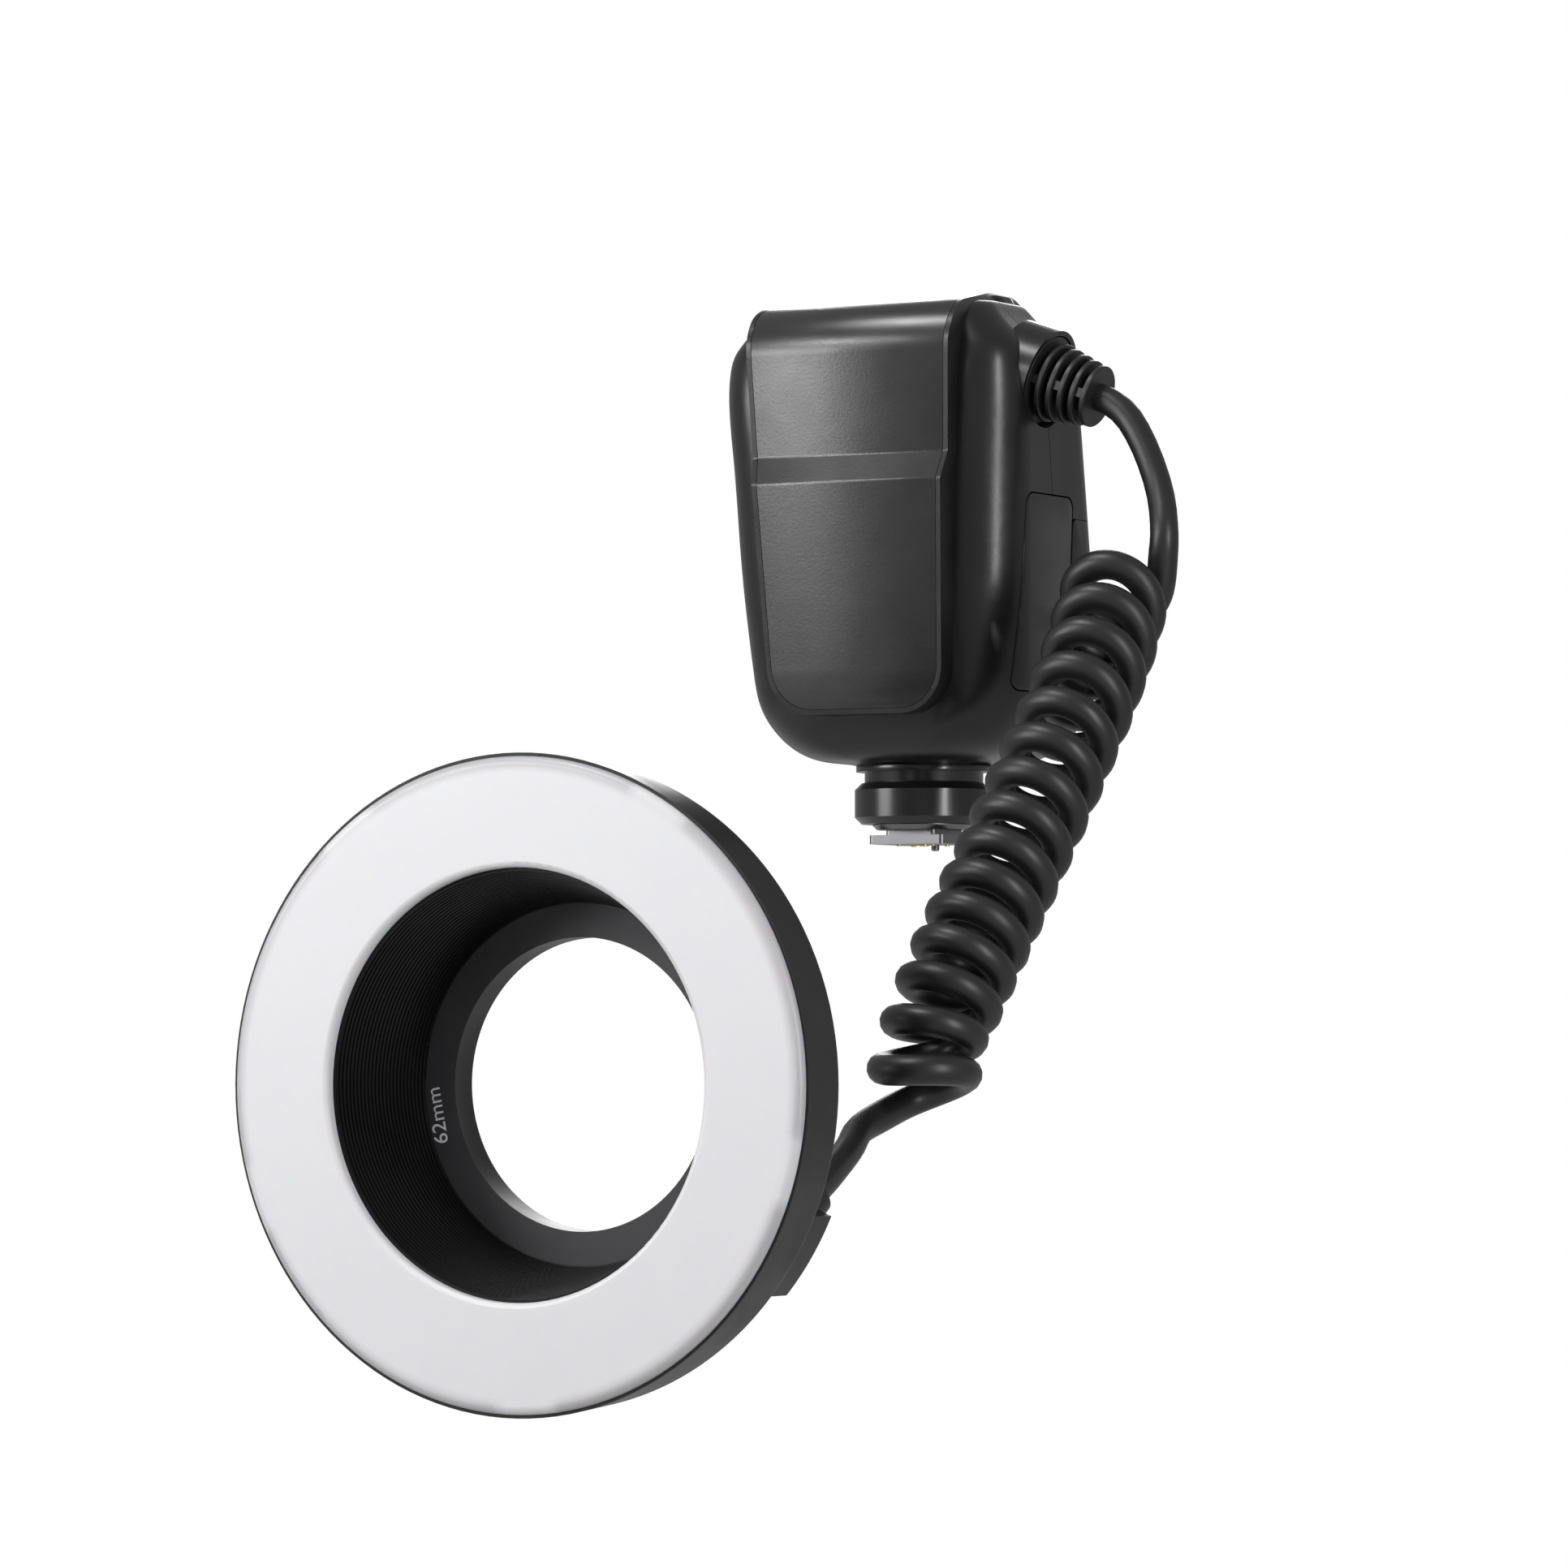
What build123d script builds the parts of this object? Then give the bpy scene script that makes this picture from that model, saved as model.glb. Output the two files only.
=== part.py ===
from build123d import *
from math import cos, pi, radians, sin, sqrt, tan
import os

# Macro ring flash: a control unit with a hot-shoe foot, a curly cord and a ring
# head on its lens adapter. Millimetres, +Z up. The origin is the middle of the
# shoe foot's underside, +X is the cord's side and -Y is where the light goes.

os.makedirs("parts", exist_ok=True)

# Clearances and wall that several pieces share
overrun = 2.0
wall = 2.2
seam_gap = 0.2
slide_fit = 0.1
running_fit = 0.05
seat_gap = 0.3
rib_chamfer = 0.3

# Shoe foot
shoe_width = 18.6
shoe_length = 18.0
shoe_thickness = 2.0
shoe_corner = 1.0
neck_width = 12.4
neck_length = 14.0
neck_height = 1.2
barrel_radius = 8.0
lock_pin_radius = 0.9
lock_pin_y = 5.5
lock_pin_reach = 1.3
lock_pin_length = 9.3
lock_pin_lift = 1.5
contact_radius = 0.6
centre_contact_radius = 1.1
contact_reach = 0.4
contact_length = 6.4
contact_x = 4.2
contact_front_y = -4.0
contact_rear_y = 3.0

# Clamp washer and lock wheel
washer_radius = 11.5
washer_thickness = 1.15
washer_chamfer = 1.0
washer_z = 3.25
wheel_radius = 15.4
wheel_z = 4.5
wheel_height = 9.1
wheel_web = 4.9
wheel_chamfer = 1.5
collar_radius = 13.2
collar_z = 10.6
collar_flange_radius = 15.1
collar_flange_height = 1.4
foot_screw_circle = 10.6
foot_screw_count = 4
foot_screw_phase = 45
foot_screw_radius = 1.0
foot_screw_length = 7.0
foot_screw_head_radius = 1.8
foot_screw_head_height = 1.3

# Control unit body, as stations from the bottom to the top. Each row gives the
# height, the half width, the front, how far the rear falls short of the flat
# rear line, the front corner and the rear corner, as shares of the sizes below.
body_bottom = 17.5
body_height = 105.1
body_half_width = 36.5
body_front = 31.8
body_rear = 20.2
body_corner = 15.5
rear_tilt = 14.4
rear_line_share = 0.4234
body_shares = [
    (0.0, 0.384, 0.440, 0.823, 0.645, 0.645),
    (0.0076, 0.548, 0.597, 0.590, 0.839, 0.710),
    (0.0285, 0.699, 0.723, 0.414, 0.968, 0.774),
    (0.0666, 0.808, 0.811, 0.259, 1.0, 0.774),
    (0.1189, 0.885, 0.862, 0.139, 0.968, 0.774),
    (0.1951, 0.921, 0.890, 0.048, 0.935, 0.742),
    (0.4234, 0.964, 0.943, 0.0, 0.839, 0.645),
    (0.6422, 0.989, 0.981, 0.014, 0.774, 0.581),
    (0.7659, 1.0, 1.0, 0.032, 0.710, 0.548),
    (0.8230, 0.995, 0.994, 0.050, 0.710, 0.548),
    (0.8658, 0.962, 0.962, 0.092, 0.645, 0.516),
    (0.8944, 0.900, 0.940, 0.123, 0.613, 0.484),
    (0.9134, 0.850, 0.926, 0.157, 0.581, 0.452),
    (0.9372, 0.790, 0.880, 0.195, 0.500, 0.420),
    (0.9600, 0.730, 0.720, 0.245, 0.400, 0.380),
    (0.9780, 0.664, 0.440, 0.320, 0.300, 0.300),
]
seam_share = 0.70
seam_y = -10.7
seam_slope = 11.3

# Raised spine down the front, as points of its side outline: how far each lies
# forward, as a share of the body's front, and how high, as a share of the body.
spine_front_shares = [
    (1.019, 0.0904),
    (1.044, 0.1475),
    (1.176, 0.5804),
    (1.110, 0.6375),
    (1.181, 0.9420),
]
spine_back_shares = [
    (0.063, 1.0019),
    (-0.006, 0.9610),
    (-0.063, 0.9087),
    (0.629, 0.7850),
    (0.629, 0.0904),
]
spine_crown = 11.0
spine_crease = 1.6
spine_rim = 1.2
plate_thickness = 1.0
plate_corner = 9.5
plate_top_corner = 6.0
plate_end_share = 0.38
# The plate's half width, as a share of the body's, at a share of its height
plate_width_shares = [
    (0.663, 0.9870),
    (0.627, 0.6375),
    (0.605, 0.5804),
    (0.548, 0.1094),
]

# Shell screws, two low and two high, driven from the rear
boss_radius = 3.2
boss_x = 22.0
low_boss_z = 27.2
high_boss_z = 111.0
shell_screw_radius = 1.1
shell_screw_head_radius = 2.0
shell_screw_head_height = 1.4
shell_screw_length = 12.0
shell_screw_bite = 4.0

# Rear control panel, measured on the sloping rear face
panel_mid_share = 0.509
panel_width = 60.0
panel_height = 70.0
panel_corner = 5.0
panel_thickness = 2.0
panel_edge = 0.6
rear_wall = 3.2
window_width = 44.0
window_height = 27.0
window_y = 19.0
window_corner = 2.0
window_thickness = 1.2
window_ledge = 2.0
module_width = 46.0
module_height = 30.0
module_thickness = 3.0
key_proud = 0.8
key_width = 9.0
key_height = 4.5
key_y = 1.4
key_pitch = 11.0
key_corner = 1.2
side_key_width = 8.0
side_key_height = 5.2
side_key_x = 21.0
side_key_high_y = -9.5
side_key_low_y = -20.5
dial_y = -14.5
dial_radius = 11.0
dial_hole_radius = 5.2
dial_proud = 1.6
dial_grooves = 40
dial_groove_width = 0.5
dial_groove_depth = 0.4
set_button_radius = 5.0
set_button_proud = 1.3
power_switch_y = -30.4
power_knob_width = 9.0
power_knob_height = 4.0
power_travel = 6.0
power_knob_proud = 1.2
key_travel = 0.6
switch_size = 4.2
switch_height = 1.6
switch_gap = 0.8
board_thickness = 1.6
board_width = 56.0
board_height = 64.0
board_corner = 3.0
post_radius = 2.0
post_inset = 2.6

# Battery bay, battery and its latch on the cord's side
battery_bottom = 33.0
battery_height = 43.0
battery_front = -20.0
battery_depth = 22.5
battery_inner_x = -26.0
battery_corner = 3.0
battery_block_x = 30.6
battery_fit = 0.3
bay_wall = 1.5
bay_x = 29.8
contact_plate_thickness = 1.0
contact_plate_width = 4.0
contact_plate_height = 12.0
contact_plate_spread = 12.0
battery_terminal_depth = 1.4
latch_y = 3.1
latch_depth = 9.4
latch_bottom = 47.5
latch_height = 24.0
latch_travel = 4.0
latch_inner_x = 31.2
latch_corner = 1.5
latch_groove_pitch = 2.2
latch_groove_width = 0.8
latch_groove_depth = 0.5
latch_grooves = 4

# Port cover and sockets on the other side
port_front = -12.0
port_depth = 14.0
port_bottom = 62.3
port_height = 21.7
port_corner = 2.0
port_floor_x = 33.5
port_fit = 0.3
port_lip_depth = 1.6
port_lip_width = 8.0
socket_block_depth = 5.2
socket_jack_radius = 1.8
socket_jack_z = 78.6
socket_slot_width = 9.0
socket_slot_height = 3.3
socket_slot_z = 68.0
socket_depth = 4.0

# Power board and capacitor inside
power_board_half_width = 24.0
power_board_bottom = 36.0
power_board_height = 40.0
transformer_width = 16.0
transformer_height = 14.0
transformer_depth = 5.4
transformer_z = 60.0
coil_can_radius = 5.0
coil_can_height = 5.0
coil_can_x = 9.0
coil_can_z = 44.0
capacitor_radius = 11.0
capacitor_length = 42.0
capacitor_y = -12.0
capacitor_rounding = 1.0

# Cord: the coil's strand and the slightly slimmer free stretches
coil_diameter = 6.5
lead_diameter = 6.1

# Cable boot at the control unit, tilted down; distances run along its axis
boot_x = 36.2
boot_y = -13.0
boot_z = 101.3
boot_droop = 18.8
boot_length = 14.3
boot_inner_end = -7.0
boot_anchor_radius = 5.6
boot_anchor_length = 1.6
boot_flange_radius = 9.9
boot_flange_height = 1.3
boot_neck_radius = 4.6
boot_core_radius = 4.3
boot_ribs = 5
boot_rib_thickness = 1.2
boot_first_rib_radius = 8.8
boot_last_rib_radius = 6.9
boot_web_width = 2.0
boot_collar_radius = 11.3
boot_collar_proud = 1.5
boot_recess_radius = 10.2

# Ring head: R is measured from the lens axis, depth from the diffuser's face
ring_y = -180.0
ring_z = -52.5
ring_lip_radius = 66.8
ring_lip_depth = 1.7
ring_taper = 4.0
ring_depth = 18.0
ring_wall = 1.8
ring_rear_rounding = 3.0
ring_back_thickness = 2.2
cover_seat_radius = 61.2
cover_ledge_radius = 57.5
cover_ledge_thickness = 1.8
diffuser_radius = 66.1
diffuser_bore = 43.7
diffuser_thickness = 1.5
diffuser_skirt = 4.5
diffuser_outer_rounding = 1.8
diffuser_inner_rounding = 1.2
bore_lip_radius = 43.1
bore_lip_depth = 2.4
bore_end_radius = 37.2
bore_wall = 1.2
bore_grooves = 24
bore_groove_share = 0.45
bore_groove_depth = 0.35
hub_radius = 50.0
hub_depth = 30.0
hub_wall = 1.6
hub_back = 2.15
hub_bore = 37.1
hub_rounding = 1.5
cover_open_radius = 47.6

# Lens adapter ring
adapter_annulus_depth = 27.85
adapter_bore = 30.0
adapter_body_radius = 37.0
adapter_flange_radius = 38.3
adapter_flange_thickness = 1.2
adapter_thread_radius = 31.0
adapter_thread_length = 3.4
adapter_web = 1.6
adapter_tube_wall = 1.2

# Lamp parts inside the ring
pan_outer_radius = 62.4
pan_inner_radius = 46.6
pan_lip_depth = 3.2
pan_floor_depth = 9.6
pan_thickness = 0.8
tube_circle = 54.0
tube_radius = 2.5
tube_depth = 6.2
tube_half_angle = 78.0
tube_end_radius = 3.1
tube_end_length = 3.4
led_board_half_angle = 8.0
led_board_inner = 49.0
led_board_outer = 59.0
led_board_thickness = 0.9
led_size = 2.8
led_height = 1.1
led_spread_angle = 3.6
trigger_board_depth = 12.0
trigger_board_inner = 48.6
trigger_board_outer = 60.4
trigger_board_start = 195.0
trigger_board_sweep = 150.0
trigger_post_radius = 1.8
trigger_post_margin = 4.0
trigger_coil_radius = 1.2
trigger_coil_length = 9.0
trigger_coil_angle = 250.0
pan_post_radius = 2.0
pan_post_start = 30.0
pan_post_sweep = 120.0

# Release buttons, each with a half frame and a claw on the far side
button_travel = 1.2
button_outer_radius = 56.6
button_half_width = 8.0
button_front_depth = 21.5
button_rear_depth = 27.0
button_corner = 2.0
frame_inner_radius = 42.0
frame_outer_radius = 45.6
frame_front_depth = 22.0
frame_rear_depth = 26.6
frame_gap = 2.4
claw_width = 6.0
claw_rear_depth = 29.2
claw_root_radius = 44.6
stem_width = 5.6
stem_gap = 0.3
latch_spring_radius = 1.3
latch_spring_bore = 0.9
latch_spring_length = 0.45

# Ring screws
ring_screw_circle = 59.3
ring_screw_count = 6
ring_screw_radius = 0.9
ring_screw_head_radius = 1.5
ring_screw_head_height = 1.0
ring_screw_length = 2.6
ring_screw_phase = 30.0

# Cord outlet block on the rear cover
outlet_angle = -32.5
outlet_half_angle = 8.5
outlet_inner_radius = 50.4
outlet_outer_radius = 64.2
outlet_rear_depth = 27.0
outlet_edge = 1.0
outlet_x = 49.5
outlet_y = -158.0
outlet_z = -80.5
outlet_turn = 17.3
outlet_climb = 35.45
outlet_gland_radius = 5.6
outlet_gland_tip_radius = 4.6
outlet_gland_length = 10.6

# Coil: one helix round a centre line, as turn, centre and the downward normal
# of the turn's plane. The turns are wound left-handed.
coil_radius = 9.0
coil_start_turn = 0.25
coil_end_turn = 15.64
coil_arcs_per_turn = 4
coil_side = (0.879, 0.476, 0.0)
coil_stations = [
    (0.0, (58.9, -20.6, 57.6), (0.33, -0.83, -0.42)),
    (1.0, (59.8, -27.0, 50.8), (0.296, -0.821, -0.47)),
    (3.0, (61.1, -39.2, 36.4), (0.22, -0.79, -0.57)),
    (6.0, (61.0, -59.3, 14.1), (0.06, -0.667, -0.743)),
    (9.0, (59.9, -78.6, -7.7), (0.004, -0.62, -0.785)),
    (12.0, (58.4, -95.3, -27.6), (-0.02, -0.50, -0.865)),
    (13.5, (57.7, -103.8, -38.3), (0.06, -0.34, -0.94)),
    (14.9, (57.4, -111.3, -49.1), (0.191, 0.028, -0.949)),
    (15.75, (58.5, -110.4, -57.4), (0.142, 0.152, -0.95)),
]
# Corner points of the free stretches between the coil and its two ends
upper_first_run = 5.0
upper_route = [(60.4, -14.0, 87.6), (66.4, -16.6, 75.5)]
upper_last_run = 4.6
lower_first_run = 7.0
lower_route = [(49.2, -127.5, -65.2), (51.0, -139.5, -70.2)]
lower_last_run = 6.0
run_share = 0.45
gap_check_step = 4



def write(builder, name):
    """Label a finished piece and write its STEP file."""
    builder.part.label = name
    export_step(builder.part, f"parts/{name}.step")


def screw_solid(shank_radius, shank_length, head_radius, head_height):
    """A screw with a cross recess, its head standing on the local XY plane."""
    recess_width = shank_radius / 2
    with BuildPart(mode=Mode.PRIVATE) as screw:
        Cylinder(head_radius, head_height, align=(Align.CENTER, Align.CENTER, Align.MIN))
        Cylinder(shank_radius, shank_length, align=(Align.CENTER, Align.CENTER, Align.MAX))
        with BuildSketch(Plane.XY.offset(head_height)):
            Rectangle(head_radius, recess_width)
            Rectangle(recess_width, head_radius)
        extrude(amount=-head_height / 2, mode=Mode.SUBTRACT)
    return screw.part


# Body stations in millimetres
rear_line_z = body_bottom + rear_line_share * body_height


def height_at(share):
    """The height of a share of the body."""
    return body_bottom + share * body_height


def rear_line(z):
    """Where the flat rear face lies at a height."""
    return body_rear - tan(radians(rear_tilt)) * (z - rear_line_z)


def body_form(inset):
    """The rounded body as a solid, drawn in on every side by an inset."""
    with BuildPart(mode=Mode.PRIVATE) as form:
        for height, width, front, fall, front_corner, rear_corner in body_shares:
            z = height_at(height)
            half_width = width * body_half_width - inset
            front_y = inset - front * body_front
            rear_y = rear_line(z) - fall * body_rear - inset
            level = body_bottom + inset + height * (body_height - inset - inset)
            with BuildSketch(Plane.XY.offset(level)) as section:
                with Locations((0, (front_y + rear_y) / 2)):
                    Rectangle(2 * half_width, rear_y - front_y)
                front_pair = section.vertices().group_by(Axis.Y)[0]
                fillet(front_pair, front_corner * body_corner - inset)
                rear_pair = section.vertices().group_by(Axis.Y)[-1]
                fillet(rear_pair, rear_corner * body_corner - inset)
        loft()
    return form.part


def spine_outline(inset):
    """The spine's side outline, drawn in at the front and the top by an inset."""
    front = [(inset - y * body_front, height_at(z)) for y, z in spine_front_shares]
    back = [(-y * body_front, height_at(z)) for y, z in spine_back_shares]
    corner = (front[-1][0], front[-1][1] - inset)
    crown_end = (back[0][0], back[0][1] - inset)
    points = [*front[:-1], corner, crown_end, *back[1:]]
    radii = [0.0 for point in points]
    radii[2] = spine_crease
    radii[3] = spine_crease + inset
    radii[len(front) - 1] = spine_crown - inset
    with BuildSketch(Plane.YZ, mode=Mode.PRIVATE) as outline:
        with BuildLine():
            FilletPolyline(*points, radius=radii, close=True)
        make_face()
    return outline.sketch


def plate_outline(grow):
    """The plate's outline seen from the front, grown on every side."""
    right = [(x * body_half_width, height_at(z)) for x, z in plate_width_shares]
    left = [(-x, z) for x, z in reversed(right)]
    with BuildSketch(Plane.XZ, mode=Mode.PRIVATE) as outline:
        with BuildLine():
            Polyline(*right, *left, close=True)
        make_face()
        fillet(outline.vertices().group_by(Axis.Y)[0], plate_corner)
        fillet(outline.vertices().group_by(Axis.Y)[-1], plate_top_corner)
        if grow != 0:
            offset(amount=grow)
    return outline.sketch


def spine_form(inset, grow):
    """The spine as a solid between its side outline and its front outline."""
    side = spine_outline(inset)
    front = plate_outline(grow)
    with BuildPart(mode=Mode.PRIVATE) as form:
        extrude(side, amount=body_half_width, both=True)
        extrude(front, amount=body_half_width + overrun, both=True, mode=Mode.INTERSECT)
    return form.part


# Shoe foot: the plate that slides under the rails, then its neck and barrel
neck_top = shoe_thickness + neck_height
contact_places = [
    (-contact_x, contact_front_y),
    (contact_x, contact_front_y),
    (-contact_x, contact_rear_y),
    (contact_x, contact_rear_y),
]
lock_pin_room = lock_pin_length - lock_pin_reach + lock_pin_lift + seat_gap

with BuildPart() as foot_bores:
    with BuildSketch():
        with Locations((0, lock_pin_y)):
            Circle(lock_pin_radius + running_fit)
    extrude(amount=lock_pin_room)
    with BuildSketch():
        Circle(centre_contact_radius + running_fit)
        with Locations(*contact_places):
            Circle(contact_radius + running_fit)
    extrude(amount=contact_length)
foot_bore_solids = foot_bores.part

with BuildPart() as shoe_plate:
    with BuildSketch():
        RectangleRounded(shoe_width, shoe_length, shoe_corner)
    extrude(amount=shoe_thickness)
    add(foot_bore_solids, mode=Mode.SUBTRACT)
write(shoe_plate, "shoe_plate")

with BuildPart() as shoe_barrel:
    with BuildSketch(Plane.XY.offset(shoe_thickness)):
        RectangleRounded(neck_width, neck_length, shoe_corner)
    extrude(amount=neck_height)
    with BuildSketch(Plane.XY.offset(neck_top)):
        Circle(barrel_radius)
    extrude(amount=body_bottom - neck_top)
    add(foot_bore_solids, mode=Mode.SUBTRACT)
write(shoe_barrel, "shoe_barrel")

with BuildPart() as lock_pin:
    with BuildSketch(Plane.XY.offset(-lock_pin_reach)):
        with Locations((0, lock_pin_y)):
            Circle(lock_pin_radius)
    extrude(amount=lock_pin_length)
    chamfer(lock_pin.edges().group_by(Axis.Z)[0], lock_pin_radius / 3)
write(lock_pin, "lock_pin")

with BuildPart() as contact_pins:
    with BuildSketch(Plane.XY.offset(-contact_reach)):
        Circle(centre_contact_radius)
        with Locations(*contact_places):
            Circle(contact_radius)
    extrude(amount=contact_length - seat_gap)
    fillet(contact_pins.edges().group_by(Axis.Z)[0], contact_reach / 2)
write(contact_pins, "contact_pins")

# Clamp washer and lock wheel round the barrel
bore_radius = barrel_radius + running_fit

with BuildPart() as clamp_washer:
    with BuildSketch(Plane.XY.offset(washer_z)):
        Circle(washer_radius)
        Circle(bore_radius, mode=Mode.SUBTRACT)
    extrude(amount=washer_thickness)
    low_edges = clamp_washer.edges().filter_by(GeomType.CIRCLE).group_by(Axis.Z)[0]
    chamfer(low_edges.sort_by(SortBy.RADIUS)[-1], washer_chamfer)
write(clamp_washer, "clamp_washer")

with BuildPart() as lock_wheel:
    with BuildSketch(Plane.XY.offset(wheel_z)):
        Circle(wheel_radius)
    extrude(amount=wheel_height)
    chamfer(lock_wheel.edges().filter_by(GeomType.CIRCLE), wheel_chamfer)
    with BuildSketch(Plane.XY.offset(wheel_z)):
        Circle(bore_radius)
    extrude(amount=wheel_height, mode=Mode.SUBTRACT)
    with BuildSketch(Plane.XY.offset(wheel_z + wheel_web)):
        Circle(collar_radius + running_fit)
    extrude(amount=wheel_height, mode=Mode.SUBTRACT)
write(lock_wheel, "lock_wheel")

# Collar that the wheel rises round, screwed to the bottom of the body
collar_flange_z = body_bottom - collar_flange_height

with BuildPart() as foot_collar:
    with BuildSketch(Plane.XY.offset(collar_z)):
        Circle(collar_radius)
        Circle(bore_radius, mode=Mode.SUBTRACT)
    extrude(amount=body_bottom - collar_z)
    with BuildSketch(Plane.XY.offset(collar_flange_z)):
        Circle(collar_flange_radius)
        Circle(bore_radius, mode=Mode.SUBTRACT)
    extrude(amount=collar_flange_height)
    with BuildSketch(Plane.XY.offset(body_bottom)):
        with PolarLocations(foot_screw_circle, foot_screw_count, foot_screw_phase):
            Circle(foot_screw_radius)
    extrude(amount=-foot_screw_length, mode=Mode.SUBTRACT)
write(foot_collar, "foot_collar")

body_floor = body_bottom + wall
foot_screw = screw_solid(
    foot_screw_radius, foot_screw_length - wall, foot_screw_head_radius, foot_screw_head_height
)
with BuildPart() as foot_screws:
    with Locations((0, 0, body_floor)):
        with PolarLocations(foot_screw_circle, foot_screw_count, foot_screw_phase):
            add(foot_screw)
write(foot_screws, "foot_screws")

# Planes of the control unit
seam_plane = Plane(
    origin=(0, seam_y, height_at(seam_share)),
    x_dir=(1, 0, 0),
    z_dir=(0, cos(radians(seam_slope)), sin(radians(seam_slope))),
)
panel_mid_z = height_at(panel_mid_share)
rear_plane = Plane(
    origin=(0, rear_line(panel_mid_z), panel_mid_z),
    x_dir=(-1, 0, 0),
    z_dir=(0, cos(radians(rear_tilt)), sin(radians(rear_tilt))),
)
boot_axis = Vector(cos(radians(boot_droop)), 0, -sin(radians(boot_droop)))
boot_plane = Plane(origin=(boot_x, boot_y, boot_z), x_dir=(0, 1, 0), z_dir=boot_axis)

# Body and spine as one solid, then the hollow inside it
with BuildPart() as body:
    add(body_form(0))
    add(spine_form(0, spine_rim))
    with BuildSketch(boot_plane.offset(boot_inner_end)):
        Circle(boot_collar_radius)
    extrude(amount=boot_collar_proud - boot_inner_end)
body_solid = body.part

with BuildPart() as hollow:
    add(body_form(wall))
    split(bisect_by=rear_plane.offset(-rear_wall), keep=Keep.BOTTOM)
    add(spine_form(wall, spine_rim - wall))
hollow_solid = hollow.part

# Rear panel: its openings and the boards behind it, all on the rear plane
panel_seat = panel_thickness + slide_fit
switch_top = rear_wall + switch_gap
board_front = switch_top + switch_height
function_key_places = [((i - 1.5) * key_pitch, key_y) for i in range(4)]
side_key_places = {
    "menu_key": (-side_key_x, side_key_high_y),
    "mode_key": (side_key_x, side_key_high_y),
    "test_key": (-side_key_x, side_key_low_y),
    "lamp_key": (side_key_x, side_key_low_y),
}
power_start_x = -power_travel / 2
post_places = [
    (x * (board_width / 2 - post_inset), y * (board_height / 2 - post_inset))
    for x in (-1, 1)
    for y in (-1, 1)
]


def panel_holes(fit):
    """The key, dial and switch openings, with a fit all round."""
    with BuildSketch(Plane.XY, mode=Mode.PRIVATE) as holes:
        with Locations(*function_key_places):
            RectangleRounded(key_width + 2 * fit, key_height + 2 * fit, key_corner)
        with Locations(*side_key_places.values()):
            RectangleRounded(side_key_width + 2 * fit, side_key_height + 2 * fit, key_corner)
        with Locations((0, power_switch_y)):
            slot_width = power_knob_width + power_travel + 2 * fit
            RectangleRounded(slot_width, power_knob_height + 2 * fit, key_corner)
    return holes.sketch


key_openings = panel_holes(slide_fit)

rear_axis = Axis(rear_plane.origin, rear_plane.z_dir)

with BuildPart() as control_panel:
    with BuildSketch(rear_plane):
        RectangleRounded(panel_width, panel_height, panel_corner)
    extrude(amount=-panel_thickness)
    fillet(control_panel.faces().sort_by(rear_axis)[-1].edges(), panel_edge)
    with BuildSketch(rear_plane):
        with Locations((0, window_y)):
            RectangleRounded(window_width + 2 * slide_fit, window_height + 2 * slide_fit, window_corner)
    extrude(amount=-window_thickness, mode=Mode.SUBTRACT)
    with BuildSketch(rear_plane):
        with Locations((0, window_y)):
            RectangleRounded(window_width - 2 * window_ledge, window_height - 2 * window_ledge, window_corner)
        with Locations((0, dial_y)):
            Circle(dial_radius + slide_fit)
        add(key_openings)
    extrude(amount=-panel_thickness, mode=Mode.SUBTRACT)
write(control_panel, "control_panel")

with BuildPart() as display_window:
    with BuildSketch(rear_plane.offset(-window_thickness)):
        with Locations((0, window_y)):
            RectangleRounded(window_width, window_height, window_corner)
    extrude(amount=window_thickness)
write(display_window, "display_window")

with BuildPart() as display_module:
    with BuildSketch(rear_plane.offset(-panel_seat)):
        with Locations((0, window_y)):
            Rectangle(module_width, module_height)
    extrude(amount=-module_thickness)
write(display_module, "display_module")


def write_key(name, place, width, height):
    """One push key of the rear panel, from the panel's face to its switch."""
    with BuildPart() as key:
        with BuildSketch(rear_plane.offset(-rear_wall)):
            with Locations(place):
                RectangleRounded(width, height, key_corner)
        extrude(amount=rear_wall + key_proud)
        fillet(key.faces().sort_by(rear_axis)[-1].edges(), key_proud / 2)
    write(key, name)


for i, place in enumerate(function_key_places):
    write_key(f"function_key_{i + 1}", place, key_width, key_height)
for name, place in side_key_places.items():
    write_key(name, place, side_key_width, side_key_height)

with BuildPart() as select_dial:
    with BuildSketch(rear_plane.offset(-panel_thickness)):
        with Locations((0, dial_y)):
            Circle(dial_radius)
    extrude(amount=panel_thickness + dial_proud)
    chamfer(select_dial.edges().filter_by(GeomType.CIRCLE).sort_by(rear_axis)[-1], dial_groove_depth)
    with BuildSketch(rear_plane.offset(-panel_thickness)):
        with Locations((0, dial_y)):
            Circle(dial_hole_radius)
    extrude(amount=panel_thickness + dial_proud, mode=Mode.SUBTRACT)
    with BuildSketch(rear_plane):
        with Locations((0, dial_y)):
            with PolarLocations(dial_radius, dial_grooves):
                Rectangle(2 * dial_groove_depth, dial_groove_width)
    extrude(amount=dial_proud, mode=Mode.SUBTRACT)
write(select_dial, "select_dial")

with BuildPart() as set_button:
    with BuildSketch(rear_plane.offset(-rear_wall)):
        with Locations((0, dial_y)):
            Circle(set_button_radius)
    extrude(amount=rear_wall + set_button_proud)
    fillet(set_button.faces().sort_by(rear_axis)[-1].edges(), key_proud / 2)
write(set_button, "set_button")

with BuildPart() as power_switch:
    with BuildSketch(rear_plane.offset(-switch_top)):
        with Locations((power_start_x, power_switch_y)):
            RectangleRounded(power_knob_width, power_knob_height, key_corner)
    extrude(amount=switch_top + power_knob_proud)
    fillet(power_switch.faces().sort_by(rear_axis)[-1].edges(), key_proud / 2)
write(power_switch, "power_switch")

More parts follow.
